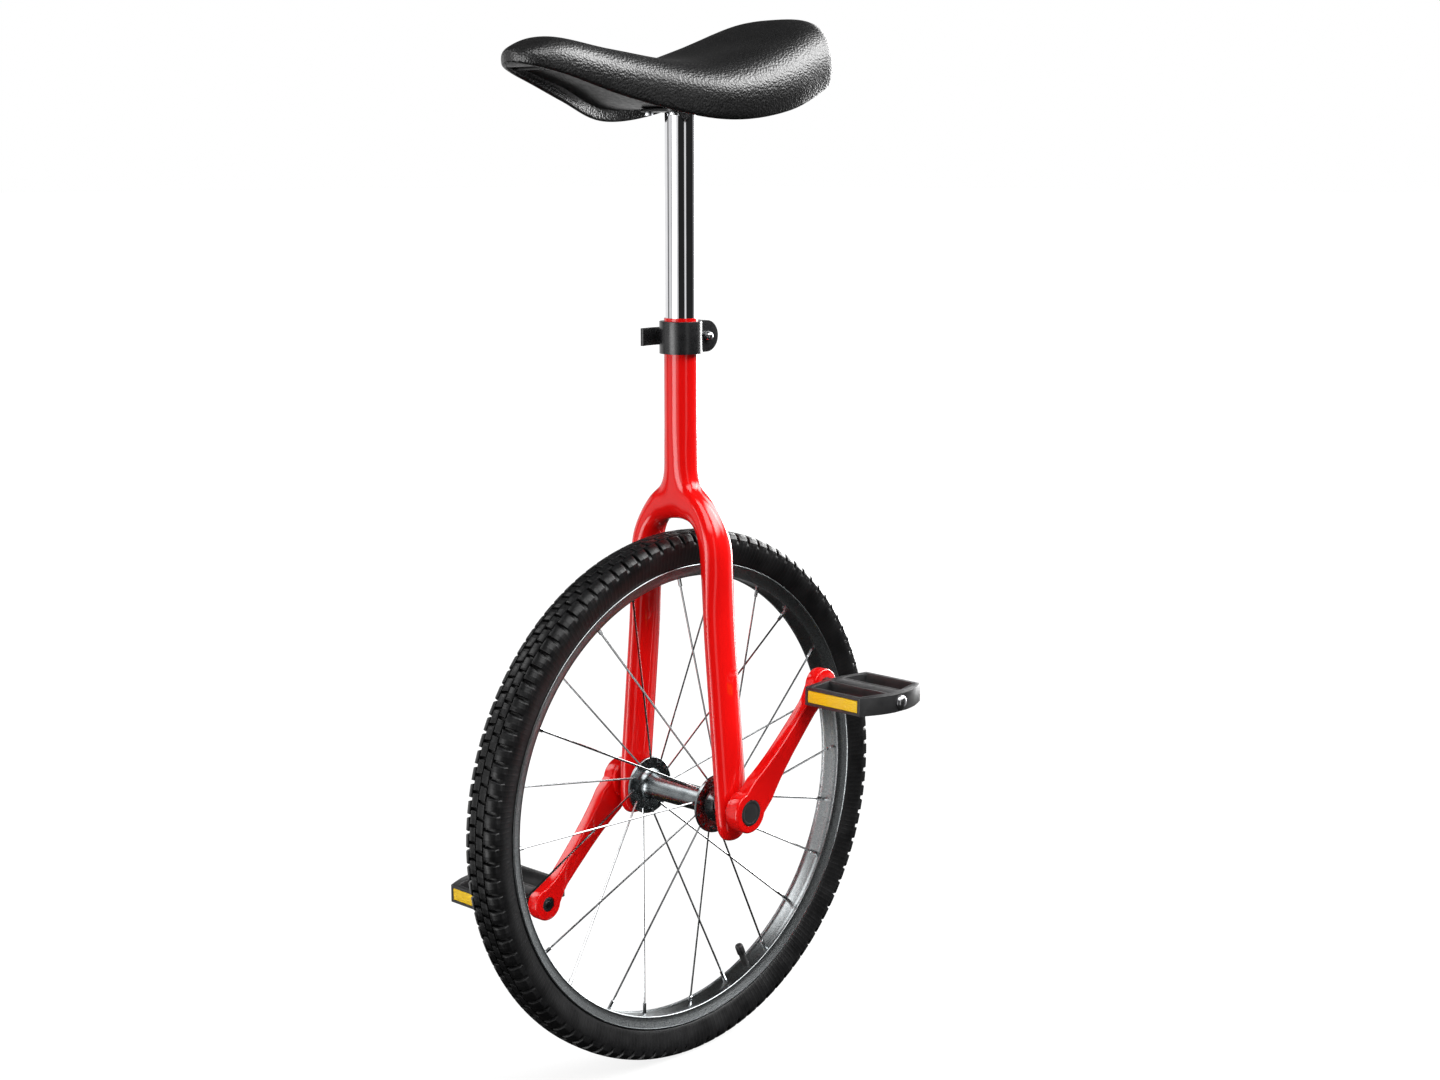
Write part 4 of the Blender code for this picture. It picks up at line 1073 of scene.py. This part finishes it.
def eased(share, column):
    """A station value at this share of the length, eased between neighbours so that it flows."""
    shares = [row[0] for row in SADDLE_STATIONS]
    values = [row[column] for row in SADDLE_STATIONS]
    last = len(shares) - 1
    slopes = []
    for i in range(last + 1):
        low = max(i - 1, 0)
        high = min(i + 1, last)
        slopes.append((values[high] - values[low]) / (shares[high] - shares[low]))
    for i in range(last):
        if share <= shares[i + 1] or i == last - 1:
            width = shares[i + 1] - shares[i]
            t = (share - shares[i]) / width
            start = (2 * t**3 - 3 * t**2 + 1) * values[i] + (t**3 - 2 * t**2 + t) * width * slopes[i]
            return start + (3 * t**2 - 2 * t**3) * values[i + 1] + (t**3 - t**2) * width * slopes[i + 1]


def round_end(share, zone):
    """How full the saddle is at this share of its length: 0 at either end, and 1 beyond the end zones."""
    end = min(share, 1 - share) / zone
    return math.sqrt(max(0.0, 1 - max(0.0, 1 - end) ** 2))


def saddle_section(share):
    y = SADDLE_FRONT_Y + share * (SADDLE_REAR_Y - SADDLE_FRONT_Y)
    half = eased(share, 1) * max(round_end(share, SADDLE_ROUND_END), 0.25)
    return y, half, eased(share, 2), eased(share, 3), eased(share, 4)


def saddle_shares(count):
    return [0.5 - 0.5 * math.cos(PI * i / (count - 1)) for i in range(count)]


def recess_roof(share, half, skirt):
    """The height of the hollow underneath, which fades out before each end of the saddle."""
    fade = eased_step(min(share, 1 - share), *RECESS_FADE)
    return skirt + SADDLE_RECESS * min(1.0, half / 0.05) * fade


def hollow_half(half):
    """Half the width of the hollow underneath, from half the width of the saddle there."""
    low = SADDLE_LOW_SHARE * half
    return max(low - SADDLE_SKIRT, 0.3 * low)


def hump(share, middle, spread, height):
    return height * math.exp(-(((share - middle) / spread) ** 2))


def cover_ring(share):
    """The padded top, the skirt and the hollow underneath at one share of the length."""
    y, _half, top, edge, skirt = saddle_section(share)
    y *= 1 - COVER_INSET / 0.18
    taper = round_end(share, COVER_ROUND_END)
    half = max(eased(share, 1) - COVER_INSET, 0.004) * max(taper, 0.04)
    top -= COVER_INSET
    top += hump(share, *SADDLE_TAIL)
    widest = skirt + SADDLE_SHOULDER * (edge - skirt)
    dip = hump(share, *SADDLE_DIP)
    ring = []
    for step in range(COVER_TOP_STEPS + 1):
        angle = PI * step / COVER_TOP_STEPS
        cos = math.cos(angle)
        x = half * math.copysign(abs(cos) ** SADDLE_FULLNESS, cos)
        z = widest + (top - widest) * math.sin(angle) ** SADDLE_FULLNESS
        ring.append((x, y, z - dip * max(0.0, 1 - (x / (SADDLE_DIP_WIDTH * half)) ** 2) ** 1.5))
    low = SADDLE_LOW_SHARE * half
    inside = hollow_half(half)
    roof = recess_roof(share, half, skirt)
    corners = [(-half, widest), (-low, skirt), (-inside, skirt), (-inside, roof)]
    corners += [(-x, z) for x, z in reversed(corners)]
    for (x0, z0), (x1, z1), steps in zip(corners, corners[1:], COVER_UNDER_STEPS):
        for step in range(1, steps + 1):
            t = step / steps
            ring.append((x0 + (x1 - x0) * t, y, z0 + (z1 - z0) * t))
    middle = skirt + 0.45 * (top - skirt)
    squash = 0.62 + 0.38 * taper if share > 0.5 else 0.50 + 0.50 * taper
    return [(x, y, middle + (z - middle) * squash) for x, y, z in ring[:-1]]


def swell(obj, rings, per_ring):
    """Inflates the cover as cloth, with the hem and the hollow held, and caps how far a point may move."""
    shown(obj)
    start = [vert.co.copy() for vert in obj.data.vertices]
    held = obj.vertex_groups.new(name="hem")
    for index in range(rings * per_ring):
        if COVER_TOP_STEPS + 2 <= index % per_ring <= per_ring - 2:
            held.add([index], 1.0, "REPLACE")
    cloth = obj.modifiers.new("cloth", "CLOTH")
    settings = cloth.settings
    settings.vertex_group_mass = "hem"
    settings.use_pressure = True
    settings.uniform_pressure_force = COVER_PRESSURE
    settings.tension_stiffness = COVER_STIFFNESS
    settings.compression_stiffness = COVER_STIFFNESS
    settings.effector_weights.gravity = 0.0
    cloth.collision_settings.use_collision = False
    scene = bpy.context.scene
    scene.frame_start = 1
    scene.frame_end = CLOTH_FRAMES
    for step in range(1, CLOTH_FRAMES + 1):
        scene.frame_set(step)
    bpy.context.view_layer.update()
    mesh = obj.evaluated_get(bpy.context.evaluated_depsgraph_get()).data
    ends = [vert.co.copy() for vert in mesh.vertices]
    obj.modifiers.remove(cloth)
    for vert, origin, end in zip(obj.data.vertices, start, ends):
        move = end - origin
        vert.co = origin + move * min(1.0, COVER_CAP / max(move.length, 1e-9))
    scene.frame_set(1)


def eased_out(obj, factor, repeat):
    relax = obj.modifiers.new("relax", "SMOOTH")
    relax.factor = factor
    relax.iterations = repeat
    return baked(obj)


def make_cushion():
    """The stretched cover: a close-fitting skin, inflated as cloth, then smoothed."""
    rings = [cover_ring(share) for share in saddle_shares(COVER_RINGS)]
    cover = loft(rings)
    swell(cover, len(rings), len(rings[0]))
    shown(cover)
    cover = eased_out(cover, 0.5, 5)
    made = subdivided(cover, 1)
    piece(smooth(made, 60), "saddle_cover", "seat", VINYL, "saddle_vinyl", "saddle_cushion")


def make_base():
    """The underside of the saddle with its bracket plate and four bolts."""
    rings = []
    for share in saddle_shares(BASE_RINGS)[BASE_SHORTER:-BASE_SHORTER]:
        y, half, _top, _edge, skirt = saddle_section(share)
        inside = hollow_half(half) - BASE_GAP
        roof = recess_roof(share, half, skirt) - BASE_ROOF_GAP
        floor = roof - PLATE_THICK
        ring = [(-inside, y, floor)]
        ring += [(inside * k / 6, y, floor) for k in range(-5, 6)]
        ring += [(inside, y, floor), (inside, y, roof), (-inside, y, roof)]
        rings.append(ring)
    made = rounded(loft(rings), 0.0006, 2, 50)
    piece(smooth(made, 35), "saddle_shell_base", "seat", BLACK_PLASTIC, "black_plastic", "saddle_base")
    low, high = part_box("saddle_bracket")
    x = high[0] - BRACKET_CORNER
    y = high[1] - BRACKET_CORNER
    outline = []
    for sign_x, sign_y, start in ((1, 1, 0), (-1, 1, 90), (-1, -1, 180), (1, -1, 270)):
        outline += arc((sign_x * x, sign_y * y), BRACKET_CORNER, start, start + 90, 12)
    bracket = rounded(plate(outline, low[2], high[2]), 0.0005, 3)
    piece(smooth(bracket), "bracket_plate", "seat", BLACK_METAL, "black_metal", "saddle_bracket")
    heads = []
    for sign_x in (1, -1):
        for sign_y in (1, -1):
            at = (sign_x * (x + BOLT_OUT), sign_y * (y + BOLT_OUT))
            head = rod((*at, low[2] - BOLT_TALL), (*at, low[2] - BOLT_GAP), BOLT_R, 6)
            heads.append(rounded(head, 0.0004, 2))
    piece(smooth(merged(heads)), "bracket_bolts", "seat", STEEL, "plain_steel")


# CAD nodes that keep their own shape

STEEL_NODES = ("bearing_left", "bearing_right", "crank_bolt_left", "crank_bolt_right", "axle", "clamp_skewer")


def dress(node, material):
    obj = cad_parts[node]
    for slot in obj.material_slots:
        slot.material = material


def dress_cad():
    for index in range(SPOKE_COUNT):
        dress(f"spoke_{index + 1:02d}", SPOKE)
    for node in STEEL_NODES:
        dress(node, STEEL)
    for node in ("inner_tube", "rim_tape"):
        dress(node, SOFT_RUBBER)


# Stage


def make_camera():
    out = cosd(CAMERA_ELEVATION)
    back = Vector((sind(CAMERA_AZIMUTH) * out, -cosd(CAMERA_AZIMUTH) * out, sind(CAMERA_ELEVATION)))
    data = bpy.data.cameras.new("camera")
    data.lens = CAMERA_LENS
    data.sensor_width = SENSOR_WIDTH
    camera = bpy.data.objects.new("camera", data)
    camera.location = CAMERA_TARGET + back * CAMERA_DISTANCE
    camera.rotation_mode = "QUATERNION"
    camera.rotation_quaternion = (-back).to_track_quat("-Z", "Y")
    shown(camera)
    bpy.context.scene.camera = camera


def soft_step(tree, value, low, high):
    span = tree.nodes.new("ShaderNodeMapRange")
    span.interpolation_type = "SMOOTHSTEP"
    wire(tree, span, {"From Min": low, "From Max": high}, {"Value": value})
    return span.outputs["Result"]


def soft_box(tree, level, height, middle, half, low, high, soft, bright):
    """One lit panel of the studio, given in degrees to the camera's right and above the horizon."""
    turn = math.radians(CAMERA_AZIMUTH - 90.0 + middle)
    across = tree.nodes.new("ShaderNodeVectorMath")
    across.operation = "DOT_PRODUCT"
    across.inputs[1].default_value = (math.cos(turn), math.sin(turn), 0.0)
    tree.links.new(level, across.inputs[0])
    outside = cosd(half + soft)
    inside = cosd(max(half - soft, 0.0))
    lit = soft_step(tree, across.outputs["Value"], outside, inside)
    lit = maths(tree, "MULTIPLY", lit, soft_step(tree, height, sind(low - soft), sind(low + soft)))
    lit = maths(tree, "MULTIPLY", lit, soft_step(tree, height, sind(high + soft), sind(high - soft)))
    return maths(tree, "MULTIPLY", lit, bright)


def make_world():
    """A dark studio with soft boxes round the object, a pale fill and a white backdrop."""
    world = bpy.data.worlds.new("studio")
    world.use_nodes = True
    bpy.context.scene.world = world
    tree = world.node_tree
    where = tree.nodes.new("ShaderNodeTexCoord").outputs["Generated"]
    flat = tree.nodes.new("ShaderNodeVectorMath")
    flat.operation = "MULTIPLY"
    flat.inputs[1].default_value = (1.0, 1.0, 0.0)
    tree.links.new(where, flat.inputs[0])
    level = tree.nodes.new("ShaderNodeVectorMath")
    level.operation = "NORMALIZE"
    tree.links.new(flat.outputs["Vector"], level.inputs[0])
    height = new_node(tree, "ShaderNodeSeparateXYZ", {}, {"Vector": where}).outputs["Z"]
    path = tree.nodes.new("ShaderNodeLightPath")
    fill = maths(tree, "MULTIPLY_ADD", height, FILL_RISE * FILL, FILL)
    total = maths(tree, "MULTIPLY", path.outputs["Is Diffuse Ray"], fill)
    total = maths(tree, "ADD", total, STUDIO_DARK)
    for box_values in SOFT_BOXES:
        total = maths(tree, "ADD", total, soft_box(tree, level.outputs["Vector"], height, *box_values))
    shares = {"Factor": path.outputs["Is Camera Ray"], "A": total}
    seen = new_node(tree, "ShaderNodeMix", {"B": 1.0}, shares)
    strength = {"Strength": seen.outputs["Result"]}
    wire(tree, tree.nodes["Background"], {"Color": (1.0, 1.0, 1.0, 1.0)}, strength)


def make_floor():
    """A pale floor that mostly shines by itself, so that only a faint shadow shows on it."""
    bm = bmesh.new()
    bmesh.ops.create_grid(bm, x_segments=1, y_segments=1, size=FLOOR_SIZE)
    floor = object_from_bmesh(bm)
    floor.name = "floor"
    floor.location.z = FLOOR_Z
    floor.visible_diffuse = False
    floor.visible_glossy = False
    material, tree, shader = new_material("pale_floor")
    shades = ranged(tree, noise(tree, 3.0), 0.0, 1.0)
    values = {"Roughness": 1.0, "Specular IOR Level": 0.0, "Emission Color": (1.0, 1.0, 1.0, 1.0)}
    links = {"Base Color": mixed(tree, shades, (0.15, 0.15, 0.15), (0.14, 0.14, 0.14))}
    wire(tree, shader, {**values, "Emission Strength": FLOOR_GLOW}, links)
    floor.data.materials.append(material)
    shown(floor)


def make_stage():
    make_camera()
    make_world()
    make_floor()
    bpy.context.scene.view_settings.view_transform = "Standard"


make_stage()
make_tyre()
make_rim()
make_hub()
make_valve()
for side, word in ((1, "left"), (-1, "right")):
    make_crank(side, word)
    make_crank_fittings(side, word)
    make_pedal(side, word)
make_frame()
make_clamp()
make_post()
make_cushion()
make_base()
dress_cad()
